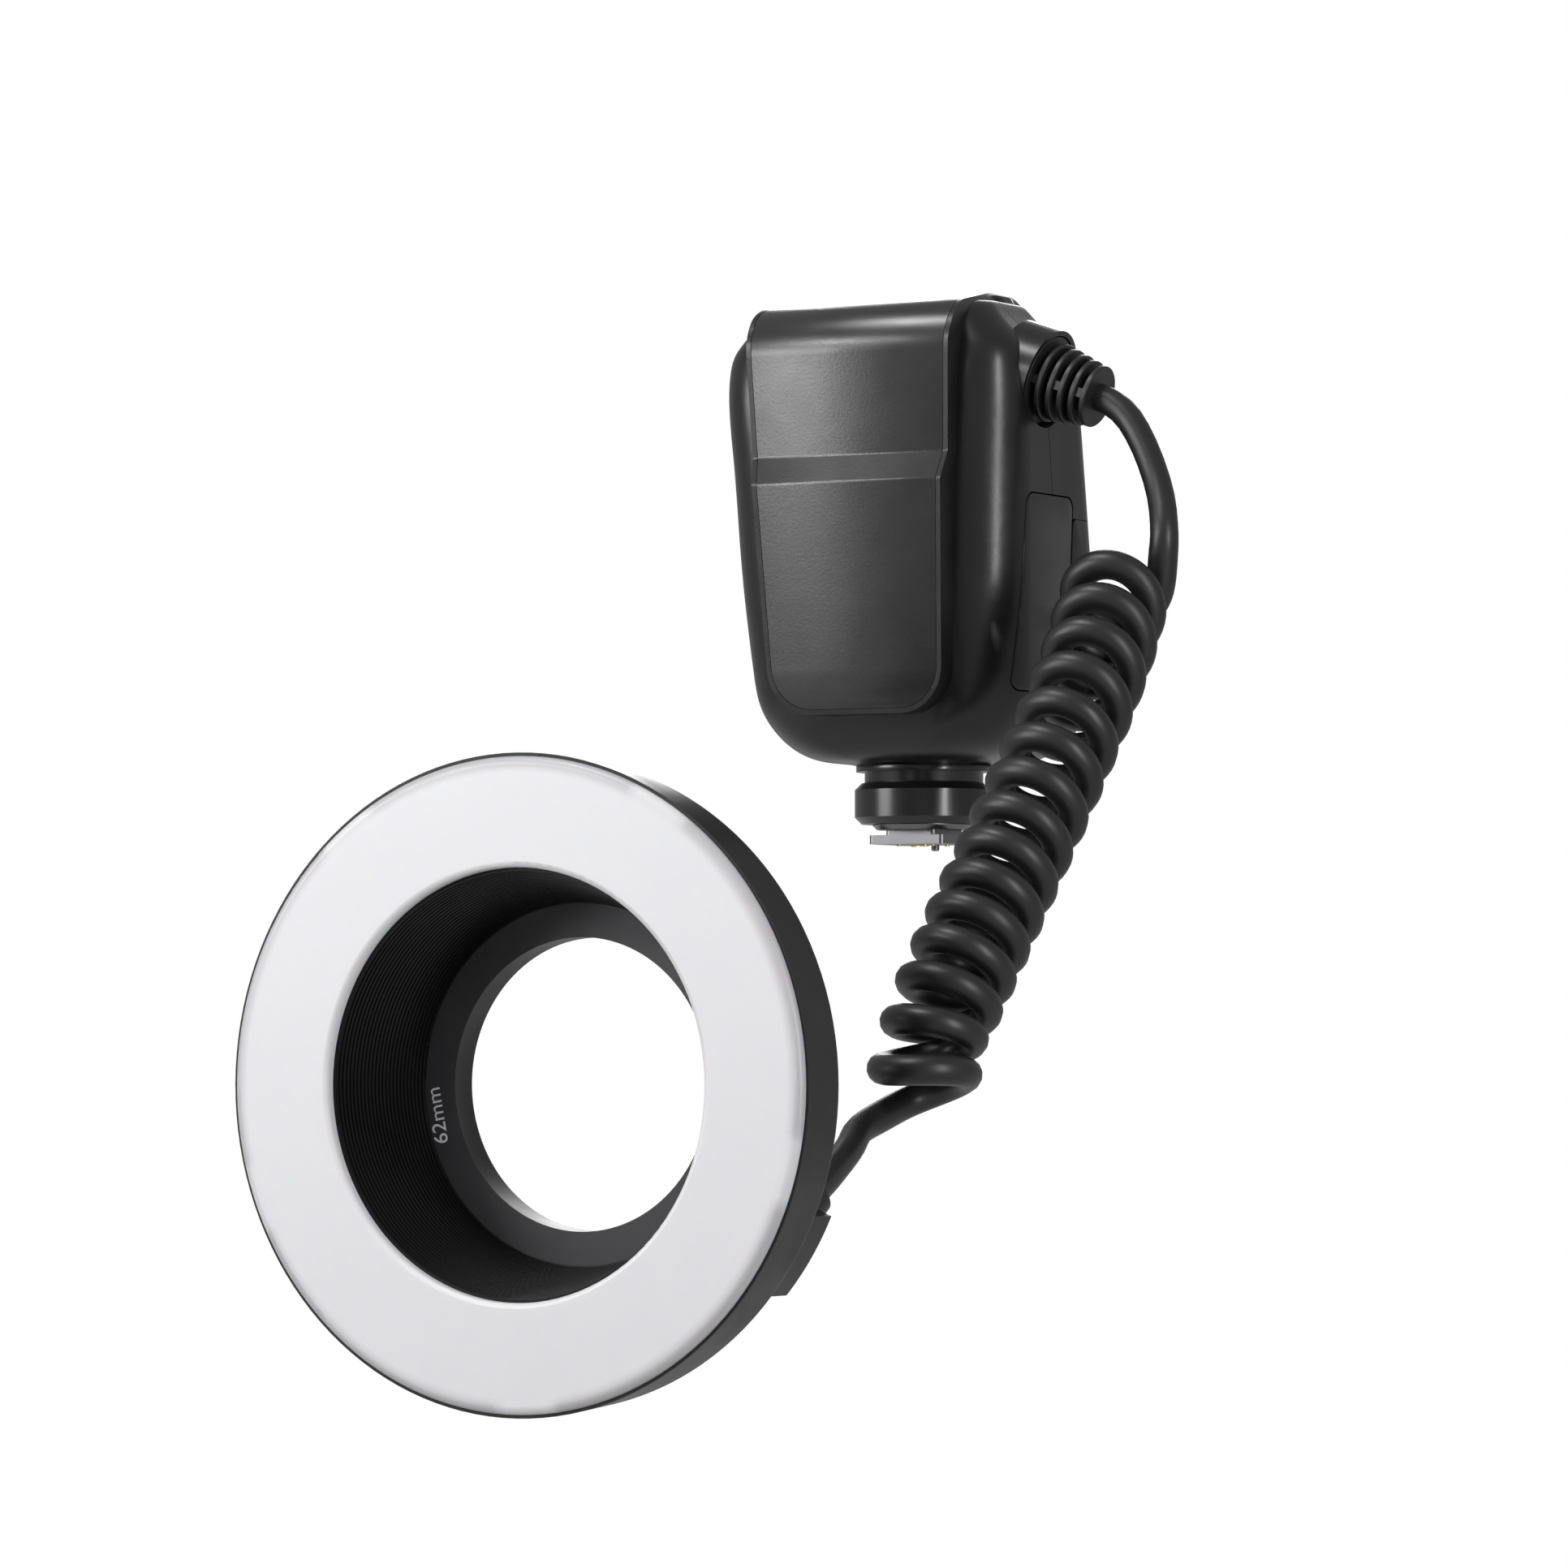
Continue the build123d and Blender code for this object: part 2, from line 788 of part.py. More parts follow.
# Board behind the panel, with a switch behind every key
with BuildPart() as key_switches:
    with BuildSketch(rear_plane.offset(-board_front)):
        with Locations(*function_key_places, *side_key_places.values(), (0, dial_y)):
            Rectangle(switch_size, switch_size)
        with Locations((0, power_switch_y)):
            Rectangle(power_knob_width + power_travel, power_knob_height)
    extrude(amount=switch_height)
write(key_switches, "key_switches")

with BuildPart() as control_board:
    with BuildSketch(rear_plane.offset(-board_front)):
        RectangleRounded(board_width, board_height, board_corner)
    extrude(amount=-board_thickness)
write(control_board, "control_board")

# Front plate, flush in a recess of the spine
plate_side = spine_outline(0)
plate_core = spine_outline(plate_thickness)
plate_front = plate_outline(0)
recess_core = spine_outline(plate_thickness + slide_fit)
recess_front = plate_outline(slide_fit)
plate_end_y = -plate_end_share * body_front


def plate_band(outside, inside, front, end_y):
    """The skin between two side outlines, inside a front outline."""
    with BuildPart(mode=Mode.PRIVATE) as band:
        extrude(outside, amount=body_half_width, both=True)
        extrude(front, amount=body_half_width + overrun, both=True, mode=Mode.INTERSECT)
        extrude(inside, amount=body_half_width + overrun, both=True, mode=Mode.SUBTRACT)
        split(bisect_by=Plane.XZ.offset(-end_y), keep=Keep.TOP)
    return band.part


with BuildPart() as front_plate:
    add(plate_band(plate_side, plate_core, plate_front, plate_end_y))
write(front_plate, "front_plate")
plate_recess = plate_band(plate_side, recess_core, recess_front, plate_end_y + slide_fit)

# Battery bay, measured from the battery block
lower_left = (Align.MIN, Align.MIN)
battery_rear = battery_front + battery_depth
bay_front = battery_front - battery_fit - bay_wall
bay_depth = battery_depth + 2 * battery_fit + 2 * bay_wall
bay_bottom = battery_bottom - battery_fit - bay_wall
bay_height = battery_height + 2 * battery_fit + 2 * bay_wall
bay_inner_x = battery_inner_x - battery_fit - bay_wall
battery_mid_y = battery_front + battery_depth / 2
battery_mid_z = battery_bottom + battery_height / 2
battery_place = Location((battery_mid_y, battery_mid_z))
latch_place = Location((latch_y + latch_depth / 2, latch_bottom + latch_height / 2))
port_place = Location((port_front + port_depth / 2, port_bottom + port_height / 2))
shell_reach = body_half_width + overrun

with BuildPart() as battery_bay:
    with BuildSketch(Plane.YZ.offset(bay_inner_x)):
        with Locations(battery_place):
            Rectangle(bay_depth, bay_height)
    extrude(amount=bay_x - bay_inner_x)
    with BuildSketch(Plane.YZ.offset(bay_inner_x + bay_wall)):
        with Locations(battery_place):
            Rectangle(bay_depth - 2 * bay_wall, bay_height - 2 * bay_wall)
    extrude(amount=bay_x - bay_inner_x, mode=Mode.SUBTRACT)
    add(body_form(wall + seat_gap), mode=Mode.INTERSECT)
write(battery_bay, "battery_bay")

contact_rows = [-contact_plate_spread / 2, 0, contact_plate_spread / 2]
with BuildPart() as battery_contacts:
    with BuildSketch(Plane.YZ.offset(bay_inner_x + bay_wall)):
        with Locations(battery_place):
            with Locations(*[(0, row) for row in contact_rows]):
                Rectangle(contact_plate_height, contact_plate_width)
    extrude(amount=contact_plate_thickness)
write(battery_contacts, "battery_contacts")

# Battery: a block that ends in a cap shaped like the side of the body
with BuildPart() as battery_cap:
    with BuildSketch(Plane.YZ.offset(battery_block_x)):
        with Locations(battery_place):
            RectangleRounded(battery_depth, battery_height, battery_corner)
    extrude(amount=shell_reach - battery_block_x)
    add(body_solid, mode=Mode.INTERSECT)
battery_skin = battery_cap.part

with BuildPart() as battery_pack:
    with BuildSketch(Plane.YZ.offset(battery_inner_x)):
        with Locations(battery_place):
            RectangleRounded(battery_depth, battery_height, battery_corner)
    extrude(amount=battery_block_x - battery_inner_x)
    add(battery_skin)
    with BuildSketch(Plane.YZ.offset(battery_inner_x)):
        with Locations(battery_place):
            with Locations(*[(0, row) for row in contact_rows]):
                Rectangle(contact_plate_height + 2 * battery_fit, contact_plate_width + 2 * battery_fit)
    extrude(amount=battery_terminal_depth, mode=Mode.SUBTRACT)
write(battery_pack, "battery_pack")

# Latch behind the battery, sliding down in a slot of the shell
with BuildPart() as battery_latch:
    with BuildSketch(Plane.YZ.offset(latch_inner_x)):
        with Locations(latch_place):
            RectangleRounded(latch_depth, latch_height, latch_corner)
    extrude(amount=shell_reach - latch_inner_x)
    add(body_solid, mode=Mode.INTERSECT)
write(battery_latch, "battery_latch")

# Port cover: a rubber flap in a shallow recess, over the socket block
with BuildPart() as port_cover:
    with BuildSketch(Plane.YZ.offset(-port_floor_x)):
        with Locations(port_place):
            RectangleRounded(port_depth, port_height, port_corner)
    extrude(amount=port_floor_x - shell_reach)
    add(body_solid, mode=Mode.INTERSECT)
write(port_cover, "port_cover")

with BuildPart() as sockets:
    with BuildSketch(Plane.YZ.offset(-port_floor_x + port_fit)):
        with Locations(port_place):
            Rectangle(port_depth - 2 * port_lip_depth, port_height - 2 * port_lip_depth)
    extrude(amount=socket_block_depth)
    with BuildSketch(Plane.YZ.offset(-port_floor_x + port_fit)):
        with Locations((port_front + port_depth / 2, socket_jack_z)):
            Circle(socket_jack_radius)
        with Locations((port_front + port_depth / 2, socket_slot_z)):
            SlotOverall(socket_slot_width, socket_slot_height)
    extrude(amount=socket_depth, mode=Mode.SUBTRACT)
write(sockets, "sockets")

# The casing: body less its hollow, with screw bosses, posts and every opening
boss_places = [(x, z) for x in (-boss_x, boss_x) for z in (low_boss_z, high_boss_z)]
power_board_y = bay_front - seat_gap
power_board_front = power_board_y - board_thickness
power_post_x = power_board_half_width - post_inset
power_post_places = [
    (x, z)
    for x in (-power_post_x, power_post_x)
    for z in (power_board_bottom + post_inset, power_board_bottom + power_board_height - post_inset)
]


def seam_at(z):
    """Where the seam between the two shells lies at a height."""
    return seam_y - tan(radians(seam_slope)) * (z - height_at(seam_share))


with BuildPart() as supports:
    with BuildSketch(Plane.XZ):
        with Locations(*boss_places):
            Circle(boss_radius)
    extrude(amount=2 * body_front, both=True)
    with BuildSketch(Plane.XZ.offset(-power_board_front)):
        with Locations(*power_post_places):
            Circle(post_radius)
    extrude(amount=body_front)
    with BuildSketch(rear_plane.offset(-board_front)):
        with Locations(*post_places):
            Circle(post_radius)
    extrude(amount=board_front - panel_seat)
    add(body_solid, mode=Mode.INTERSECT)
support_solid = supports.part

with BuildPart() as casing:
    add(body_solid)
    add(hollow_solid, mode=Mode.SUBTRACT)
    with BuildSketch(boot_plane.offset(boot_inner_end)):
        Circle(boot_collar_radius)
    extrude(amount=boot_collar_proud - boot_inner_end)
    add(support_solid)
    with BuildSketch(boot_plane.offset(boot_inner_end - overrun)):
        Circle(boot_neck_radius + slide_fit)
    extrude(amount=overrun - boot_inner_end, mode=Mode.SUBTRACT)
    with BuildSketch(boot_plane):
        Circle(boot_recess_radius)
    extrude(amount=boot_length, mode=Mode.SUBTRACT)
    add(plate_recess, mode=Mode.SUBTRACT)
    with BuildSketch(rear_plane.offset(-panel_seat)):
        RectangleRounded(panel_width + 2 * slide_fit, panel_height + 2 * slide_fit, panel_corner)
    extrude(amount=panel_seat + overrun, mode=Mode.SUBTRACT)
    with BuildSketch(rear_plane.offset(-rear_wall)):
        with Locations((0, dial_y)):
            Circle(dial_hole_radius)
        add(key_openings)
    extrude(amount=rear_wall, mode=Mode.SUBTRACT)
    with BuildSketch(rear_plane.offset(-board_front)):
        with Locations((0, window_y)):
            Rectangle(module_width + 2 * slide_fit, module_height + 2 * slide_fit)
    extrude(amount=board_front, mode=Mode.SUBTRACT)
    with BuildSketch(Plane.YZ):
        with Locations(battery_place):
            cap_fit = 2 * battery_fit
            RectangleRounded(battery_depth + cap_fit, battery_height + cap_fit, battery_corner)
    extrude(amount=shell_reach, mode=Mode.SUBTRACT)
    with BuildSketch(Plane.YZ.offset(latch_inner_x - slide_fit)):
        with Locations((battery_rear, latch_bottom - latch_travel - slide_fit)):
            slot_depth = latch_y + latch_depth + slide_fit - battery_rear
            slot_height = latch_height + latch_travel + 2 * slide_fit
            Rectangle(slot_depth, slot_height, align=lower_left)
    extrude(amount=shell_reach - latch_inner_x, mode=Mode.SUBTRACT)
    with BuildSketch(Plane.YZ.offset(-port_floor_x + slide_fit)):
        with Locations(port_place):
            RectangleRounded(port_depth + 2 * port_fit, port_height + 2 * port_fit, port_corner)
    extrude(amount=-shell_reach, mode=Mode.SUBTRACT)
    with BuildSketch(Plane.YZ.offset(-port_floor_x - overrun)):
        with Locations(port_place):
            lip = 2 * port_lip_depth - 2 * slide_fit
            Rectangle(port_depth - lip, port_height - lip)
    extrude(amount=socket_block_depth, mode=Mode.SUBTRACT)
    with BuildSketch(Plane.XY.offset(body_bottom)):
        with PolarLocations(foot_screw_circle, foot_screw_count, foot_screw_phase):
            Circle(foot_screw_radius + running_fit)
    extrude(amount=wall, mode=Mode.SUBTRACT)
    for x, z in boss_places:
        seat_y = seam_at(z) + shell_screw_bite
        with BuildSketch(Plane.XZ.offset(-seat_y)):
            with Locations((x, z)):
                Circle(shell_screw_head_radius + slide_fit)
        extrude(amount=-2 * body_front, mode=Mode.SUBTRACT)
        with BuildSketch(Plane.XZ.offset(-seat_y)):
            with Locations((x, z)):
                Circle(shell_screw_radius + running_fit)
        extrude(amount=shell_screw_length, mode=Mode.SUBTRACT)
casing_solid = casing.part

with BuildPart() as front_shell:
    add(casing_solid)
    split(bisect_by=seam_plane.offset(-seam_gap / 2), keep=Keep.BOTTOM)
write(front_shell, "front_shell")

with BuildPart() as rear_shell:
    add(casing_solid)
    split(bisect_by=seam_plane.offset(seam_gap / 2), keep=Keep.TOP)
write(rear_shell, "rear_shell")

shell_screw = screw_solid(
    shell_screw_radius, shell_screw_length - seat_gap, shell_screw_head_radius, shell_screw_head_height
)
with BuildPart() as shell_screws:
    for x, z in boss_places:
        seat = Plane(origin=(x, seam_at(z) + shell_screw_bite, z), x_dir=(1, 0, 0), z_dir=(0, 1, 0))
        with Locations(seat):
            add(shell_screw)
write(shell_screws, "shell_screws")

# Power board with its transformer and coil can, and the flash capacitor
with BuildPart() as power_board:
    with BuildSketch(Plane.XZ.offset(-power_board_y)):
        with Locations((0, power_board_bottom + power_board_height / 2)):
            Rectangle(2 * power_board_half_width, power_board_height)
    extrude(amount=board_thickness)
    with BuildSketch(Plane.XZ.offset(-power_board_front)):
        with Locations((0, transformer_z)):
            Rectangle(transformer_width, transformer_height)
    extrude(amount=transformer_depth)
    with BuildSketch(Plane.XZ.offset(-power_board_front)):
        with Locations((-coil_can_x, coil_can_z), (coil_can_x, coil_can_z)):
            Circle(coil_can_radius)
    extrude(amount=coil_can_height)
write(power_board, "power_board")

capacitor_z = bay_bottom + bay_height + capacitor_radius
with BuildPart() as main_capacitor:
    with BuildSketch(Plane.YZ.offset(-capacitor_length / 2)):
        with Locations((capacitor_y, capacitor_z)):
            Circle(capacitor_radius)
    extrude(amount=capacitor_length)
    fillet(main_capacitor.edges(), capacitor_rounding)
write(main_capacitor, "main_capacitor")

# Cable boot: a ribbed sleeve trapped between the shells, on its tilted axis
boot_side = Plane(origin=(boot_x, boot_y, boot_z), x_dir=boot_axis, z_dir=(0, -1, 0))
boot_line = Axis((boot_x, boot_y, boot_z), boot_axis)
boot_flange_end = slide_fit + boot_flange_height
boot_rib_gap = (boot_length - boot_flange_end) / boot_ribs - boot_rib_thickness
boot_pitch = boot_rib_thickness + boot_rib_gap
boot_rib_step = (boot_first_rib_radius - boot_last_rib_radius) / (boot_ribs - 1)
boot_rib_starts = [boot_flange_end + boot_rib_gap + i * boot_pitch for i in range(boot_ribs)]
boot_tip = Vector(boot_x, boot_y, boot_z) + boot_axis * boot_length

with BuildPart() as cable_boot:
    with BuildSketch(boot_side):
        with Locations((boot_inner_end - slide_fit - boot_anchor_length, 0)):
            Rectangle(boot_anchor_length, boot_anchor_radius, align=lower_left)
        with Locations((boot_inner_end - slide_fit - boot_anchor_length, 0)):
            neck_length_in = boot_anchor_length + boot_flange_end - boot_inner_end
            Rectangle(neck_length_in, boot_neck_radius, align=lower_left)
        with Locations((slide_fit, 0)):
            Rectangle(boot_flange_height, boot_flange_radius, align=lower_left)
        with Locations((slide_fit, 0)):
            Rectangle(boot_length - slide_fit, boot_core_radius, align=lower_left)
        for i, start in enumerate(boot_rib_starts):
            with Locations((start, 0)):
                Rectangle(boot_rib_thickness, boot_first_rib_radius - i * boot_rib_step, align=lower_left)
    revolve(axis=boot_line)
    sharp = cable_boot.edges().filter_by(GeomType.CIRCLE)
    fillet([e for e in sharp if e.radius > boot_last_rib_radius - rib_chamfer], rib_chamfer)
    for i, start in enumerate(boot_rib_starts):
        web_reach = boot_first_rib_radius - i * boot_rib_step - rib_chamfer
        with BuildSketch(boot_plane.offset(start - boot_rib_gap)):
            if i % 2:
                Rectangle(boot_web_width, 2 * web_reach)
            else:
                Rectangle(2 * web_reach, boot_web_width)
        extrude(amount=boot_rib_gap)
write(cable_boot, "cable_boot")

# Ring head. Profiles are drawn with x as the radius and y as the depth behind
# the diffuser's face, and turned round the lens axis.
ring_side = Plane(origin=(0, ring_y, ring_z))
ring_axis = Axis((0, ring_y, ring_z), (0, 1, 0))


def ring_level(depth):
    """The plane across the lens axis at a depth, x to the cord's side, y up."""
    return Plane(origin=(0, ring_y + depth, ring_z), x_dir=(1, 0, 0), z_dir=(0, -1, 0))


def ring_part(points, radii):
    """A closed profile of radius and depth points, turned to a ring."""
    with BuildPart(mode=Mode.PRIVATE) as ring:
        with BuildSketch(ring_side):
            with BuildLine():
                FilletPolyline(*points, radius=radii, close=True)
            make_face()
        revolve(axis=ring_axis)
    return ring.part


ring_fall = tan(radians(ring_taper)) * (ring_depth - ring_lip_depth)
ring_back_radius = ring_lip_radius - ring_fall
ring_front_bore = diffuser_radius + running_fit
ring_inner_radius = ring_back_radius - ring_wall
ring_floor = ring_depth - ring_back_thickness
ledge_depth = ring_floor - cover_ledge_thickness
diffuser_step = diffuser_skirt + slide_fit

with BuildPart() as ring_housing:
    add(
        ring_part(
            [
                (ring_front_bore, ring_lip_depth),
                (ring_lip_radius, ring_lip_depth),
                (ring_back_radius, ring_depth),
                (cover_seat_radius, ring_depth),
                (cover_seat_radius, ring_floor),
                (cover_ledge_radius, ring_floor),
                (cover_ledge_radius, ledge_depth),
                (ring_inner_radius, ledge_depth),
                (ring_inner_radius, diffuser_step),
                (ring_front_bore, diffuser_step),
            ],
            [0, 0, ring_rear_rounding, 0, 0, 0, 0, 0, 0, 0],
        )
    )
    with BuildSketch(ring_level(ring_floor)):
        with PolarLocations(ring_screw_circle, ring_screw_count, ring_screw_phase):
            Circle(ring_screw_radius + running_fit)
    extrude(amount=cover_ledge_thickness, mode=Mode.SUBTRACT)
write(ring_housing, "ring_housing")

# Diffuser: a flat ring with a skirt round the outside and the bore
with BuildPart() as diffuser:
    outer_in = diffuser_radius - diffuser_thickness
    bore_in = diffuser_bore + diffuser_thickness
    add(
        ring_part(
            [
                (diffuser_bore, 0),
                (diffuser_radius, 0),
                (diffuser_radius, diffuser_skirt),
                (outer_in, diffuser_skirt),
                (outer_in, diffuser_thickness),
                (bore_in, diffuser_thickness),
                (bore_in, diffuser_skirt),
                (diffuser_bore, diffuser_skirt),
            ],
            [
                diffuser_inner_rounding,
                diffuser_outer_rounding,
                0,
                0,
                diffuser_outer_rounding - diffuser_thickness,
                0,
                0,
                0,
            ],
        )
    )
write(diffuser, "diffuser")

# Bore baffle: a cone with fine ribs that stop reflections
bore_length = adapter_annulus_depth - bore_lip_depth
bore_slope = (bore_lip_radius - bore_end_radius) / bore_length
bore_pitch = bore_length / (bore_grooves + 1)
bore_groove_width = bore_groove_share * bore_pitch
bore_points = [(bore_lip_radius, bore_lip_depth)]
for i in range(bore_grooves):
    start = (i + 1) * bore_pitch - bore_groove_width / 2
    for depth, cut in (
        (start, 0),
        (start, bore_groove_depth),
        (start + bore_groove_width, bore_groove_depth),
        (start + bore_groove_width, 0),
    ):
        bore_points.append((bore_lip_radius - bore_slope * depth + cut, bore_lip_depth + depth))
bore_points.append((bore_end_radius, adapter_annulus_depth))
bore_points.append((bore_end_radius + bore_wall, adapter_annulus_depth))
bore_flare = diffuser_bore - running_fit
bore_flare_depth = diffuser_skirt + diffuser_thickness
bore_points.append((bore_lip_radius - bore_slope * bore_flare_depth + bore_wall, bore_lip_depth + bore_flare_depth))
bore_points.append((bore_flare, bore_lip_depth + bore_flare_depth))
bore_points.append((bore_flare, bore_lip_depth))

with BuildPart() as bore_baffle:
    with BuildSketch(ring_side):
        with BuildLine():
            Polyline(*bore_points, close=True)
        make_face()
    revolve(axis=ring_axis)
write(bore_baffle, "bore_baffle")

# Rear cover with the hub that holds the adapter and the release frames
cover_radius = cover_seat_radius - slide_fit
hub_floor = hub_depth - hub_back
pocket_radius = claw_root_radius + button_travel + seat_gap
pocket_height = claw_width + 2 * seat_gap
pocket_depth = claw_rear_depth + slide_fit - hub_floor
claw_mid_z = frame_gap / 2 + claw_width / 2 + seat_gap
button_height = 2 * button_half_width + 2 * slide_fit
button_slot_front = button_front_depth - slide_fit
button_slot_depth = button_rear_depth - button_front_depth + 2 * slide_fit
outlet_axis = Vector(
    sin(radians(outlet_turn)) * cos(radians(outlet_climb)),
    cos(radians(outlet_turn)) * cos(radians(outlet_climb)),
    sin(radians(outlet_climb)),
)
outlet_plane = Plane(origin=(outlet_x, outlet_y, outlet_z), x_dir=(1, 0, 0), z_dir=outlet_axis)

with BuildPart() as rear_cover:
    add(
        ring_part(
            [
                (cover_radius, ring_floor),
                (cover_radius, ring_depth),
                (hub_radius, ring_depth),
                (hub_radius, hub_depth),
                (hub_bore, hub_depth),
                (hub_bore, hub_floor),
                (hub_radius - hub_wall, hub_floor),
                (hub_radius - hub_wall, ring_floor),
            ],
            [0, 0, 0, hub_rounding, 0, 0, 0, 0],
        )
    )
    for side in (-1, 1):
        with BuildSketch(ring_level(hub_floor)):
            with Locations((-side * (hub_bore + pocket_radius) / 2, side * claw_mid_z)):
                Rectangle(pocket_radius - hub_bore + 2 * overrun, pocket_height)
        extrude(amount=-pocket_depth, mode=Mode.SUBTRACT)
        with BuildSketch(ring_level(button_slot_front)):
            with Locations((side * hub_radius, 0)):
                Rectangle(2 * (hub_wall + overrun), button_height)
        extrude(amount=-button_slot_depth, mode=Mode.SUBTRACT)
    with BuildSketch(ring_level(ring_depth)):
        with PolarLocations(ring_screw_circle, ring_screw_count, ring_screw_phase):
            Circle(ring_screw_radius + slide_fit)
    extrude(amount=ring_back_thickness, mode=Mode.SUBTRACT)
    with BuildSketch(ring_level(ring_depth)):
        with PolarLocations(ring_screw_circle, ring_screw_count, ring_screw_phase):
            Circle(ring_screw_head_radius + slide_fit)
    extrude(amount=ring_screw_head_height, mode=Mode.SUBTRACT)
write(rear_cover, "rear_cover")

ring_screw = screw_solid(
    ring_screw_radius, ring_screw_length, ring_screw_head_radius, ring_screw_head_height
)
screw_seat = ring_depth - ring_screw_head_height
with BuildPart() as ring_screws:
    seat = Plane(origin=(0, ring_y + screw_seat, ring_z), x_dir=(1, 0, 0), z_dir=(0, 1, 0))
    with Locations(seat):
        with PolarLocations(ring_screw_circle, ring_screw_count, ring_screw_phase):
            add(ring_screw)
write(ring_screws, "ring_screws")

# Lens adapter ring with its filter thread
flange_depth = hub_depth + running_fit
thread_start = flange_depth + adapter_flange_thickness
thread_end = thread_start + adapter_thread_length
adapter_back = adapter_annulus_depth + adapter_web

with BuildPart() as adapter_ring:
    with BuildSketch(ring_side):
        with BuildLine():
            Polyline(
                (adapter_bore, adapter_annulus_depth),
                (adapter_body_radius, adapter_annulus_depth),
                (adapter_body_radius, flange_depth),
                (adapter_flange_radius, flange_depth),
                (adapter_flange_radius, thread_start),
                (adapter_thread_radius, thread_start),
                (adapter_thread_radius, thread_end),
                (adapter_bore, thread_end),
                close=True,
            )
        make_face()
    revolve(axis=ring_axis)
write(adapter_ring, "adapter_ring")

# Reflector pan, tubes, their end clamps and the modelling lamps
pan_back = pan_floor_depth + pan_thickness

with BuildPart() as reflector_pan:
    add(
        ring_part(
            [
                (pan_inner_radius, pan_lip_depth),
                (pan_inner_radius + pan_thickness, pan_lip_depth),
                (pan_inner_radius + pan_thickness, pan_floor_depth),
                (pan_outer_radius - pan_thickness, pan_floor_depth),
                (pan_outer_radius - pan_thickness, pan_lip_depth),
                (pan_outer_radius, pan_lip_depth),
                (pan_outer_radius, pan_back),
                (pan_inner_radius, pan_back),
            ],
            [0, 0, pan_thickness, pan_thickness, 0, 0, 2 * pan_thickness, 2 * pan_thickness],
        )
    )
    with BuildSketch(ring_level(ledge_depth)):
        with PolarLocations(ring_screw_circle, 3, pan_post_start, pan_post_sweep, endpoint=True):
            Circle(pan_post_radius)
    extrude(amount=ledge_depth - pan_back)
write(reflector_pan, "reflector_pan")

tube_line = ring_level(tube_depth)
with BuildPart() as flash_tubes:
    for middle in (0, 180):
        for side in (-1, 1):
            end_angle = radians(middle + side * tube_half_angle)
            end = tube_line.origin + Vector(
                tube_circle * cos(end_angle), 0, tube_circle * sin(end_angle)
            )
            along = Vector(-sin(end_angle), 0, cos(end_angle)) * side
            with BuildSketch(Plane(origin=end, x_dir=(0, 1, 0), z_dir=along)):
                Circle(tube_end_radius)
            extrude(amount=tube_end_length)
        start_angle = radians(middle - tube_half_angle)
        start = tube_line.origin + Vector(
            tube_circle * cos(start_angle), 0, tube_circle * sin(start_angle)
        )
        start_along = Vector(-sin(start_angle), 0, cos(start_angle))
        with BuildSketch(Plane(origin=start, x_dir=(0, 1, 0), z_dir=start_along)):
            Circle(tube_radius)
        revolve(axis=Axis(ring_axis.position, (0, -1, 0)), revolution_arc=2 * tube_half_angle)
write(flash_tubes, "flash_tubes")


def ring_sector(inner, outer, start, sweep):
    """A flat sector between two radii, counter-clockwise from its start angle."""
    first = radians(start)
    middle = radians(start + sweep / 2)
    last = radians(start + sweep)

    def at(radius, angle):
        return (radius * cos(angle), radius * sin(angle))

    with BuildSketch(Plane.XY, mode=Mode.PRIVATE) as sector:
        with BuildLine():
            ThreePointArc(at(outer, first), at(outer, middle), at(outer, last))
            Line(at(outer, last), at(inner, last))
            ThreePointArc(at(inner, last), at(inner, middle), at(inner, first))
            Line(at(inner, first), at(outer, first))
        make_face()
    return sector.sketch


led_sectors = [
    ring_sector(led_board_inner, led_board_outer, middle - led_board_half_angle, 2 * led_board_half_angle)
    for middle in (90, 270)
]
led_front = pan_floor_depth - led_board_thickness

with BuildPart() as led_boards:
    with BuildSketch(ring_level(pan_floor_depth)):
        add(led_sectors)
    extrude(amount=led_board_thickness)
write(led_boards, "led_boards")

with BuildPart() as modelling_lamps:
    with BuildSketch(ring_level(led_front)):
        for angle in (90 - led_spread_angle, 90 + led_spread_angle, 270 - led_spread_angle, 270 + led_spread_angle):
            with PolarLocations(tube_circle, 1, angle):
                Rectangle(led_size, led_size)
    extrude(amount=led_height)
write(modelling_lamps, "modelling_lamps")

# Trigger board behind the pan, standing on posts of its own
trigger_sector = ring_sector(
    trigger_board_inner, trigger_board_outer, trigger_board_start, trigger_board_sweep
)
trigger_board_mid = (trigger_board_inner + trigger_board_outer) / 2
trigger_angle = radians(trigger_coil_angle)

with BuildPart() as trigger_board:
    with BuildSketch(ring_level(trigger_board_depth)):
        add(trigger_sector)
    extrude(amount=-board_thickness)
    with BuildSketch(ring_level(trigger_board_depth)):
        post_start = trigger_board_start + trigger_post_margin
        post_sweep = trigger_board_sweep - 2 * trigger_post_margin
        with PolarLocations(trigger_board_mid, 3, post_start, post_sweep, endpoint=True):
            Circle(trigger_post_radius)
    extrude(amount=trigger_board_depth - pan_back)
    coil_place = ring_level(trigger_board_depth + board_thickness + trigger_coil_radius / 2)
    coil_middle = coil_place.origin + Vector(
        trigger_board_mid * cos(trigger_angle), 0, trigger_board_mid * sin(trigger_angle)
    )
    coil_along = Vector(-sin(trigger_angle), 0, cos(trigger_angle))
    with BuildSketch(Plane(origin=coil_middle, x_dir=(0, 1, 0), z_dir=coil_along)):
        Circle(trigger_coil_radius)
    extrude(amount=trigger_coil_length / 2, both=True)
write(trigger_board, "trigger_board")

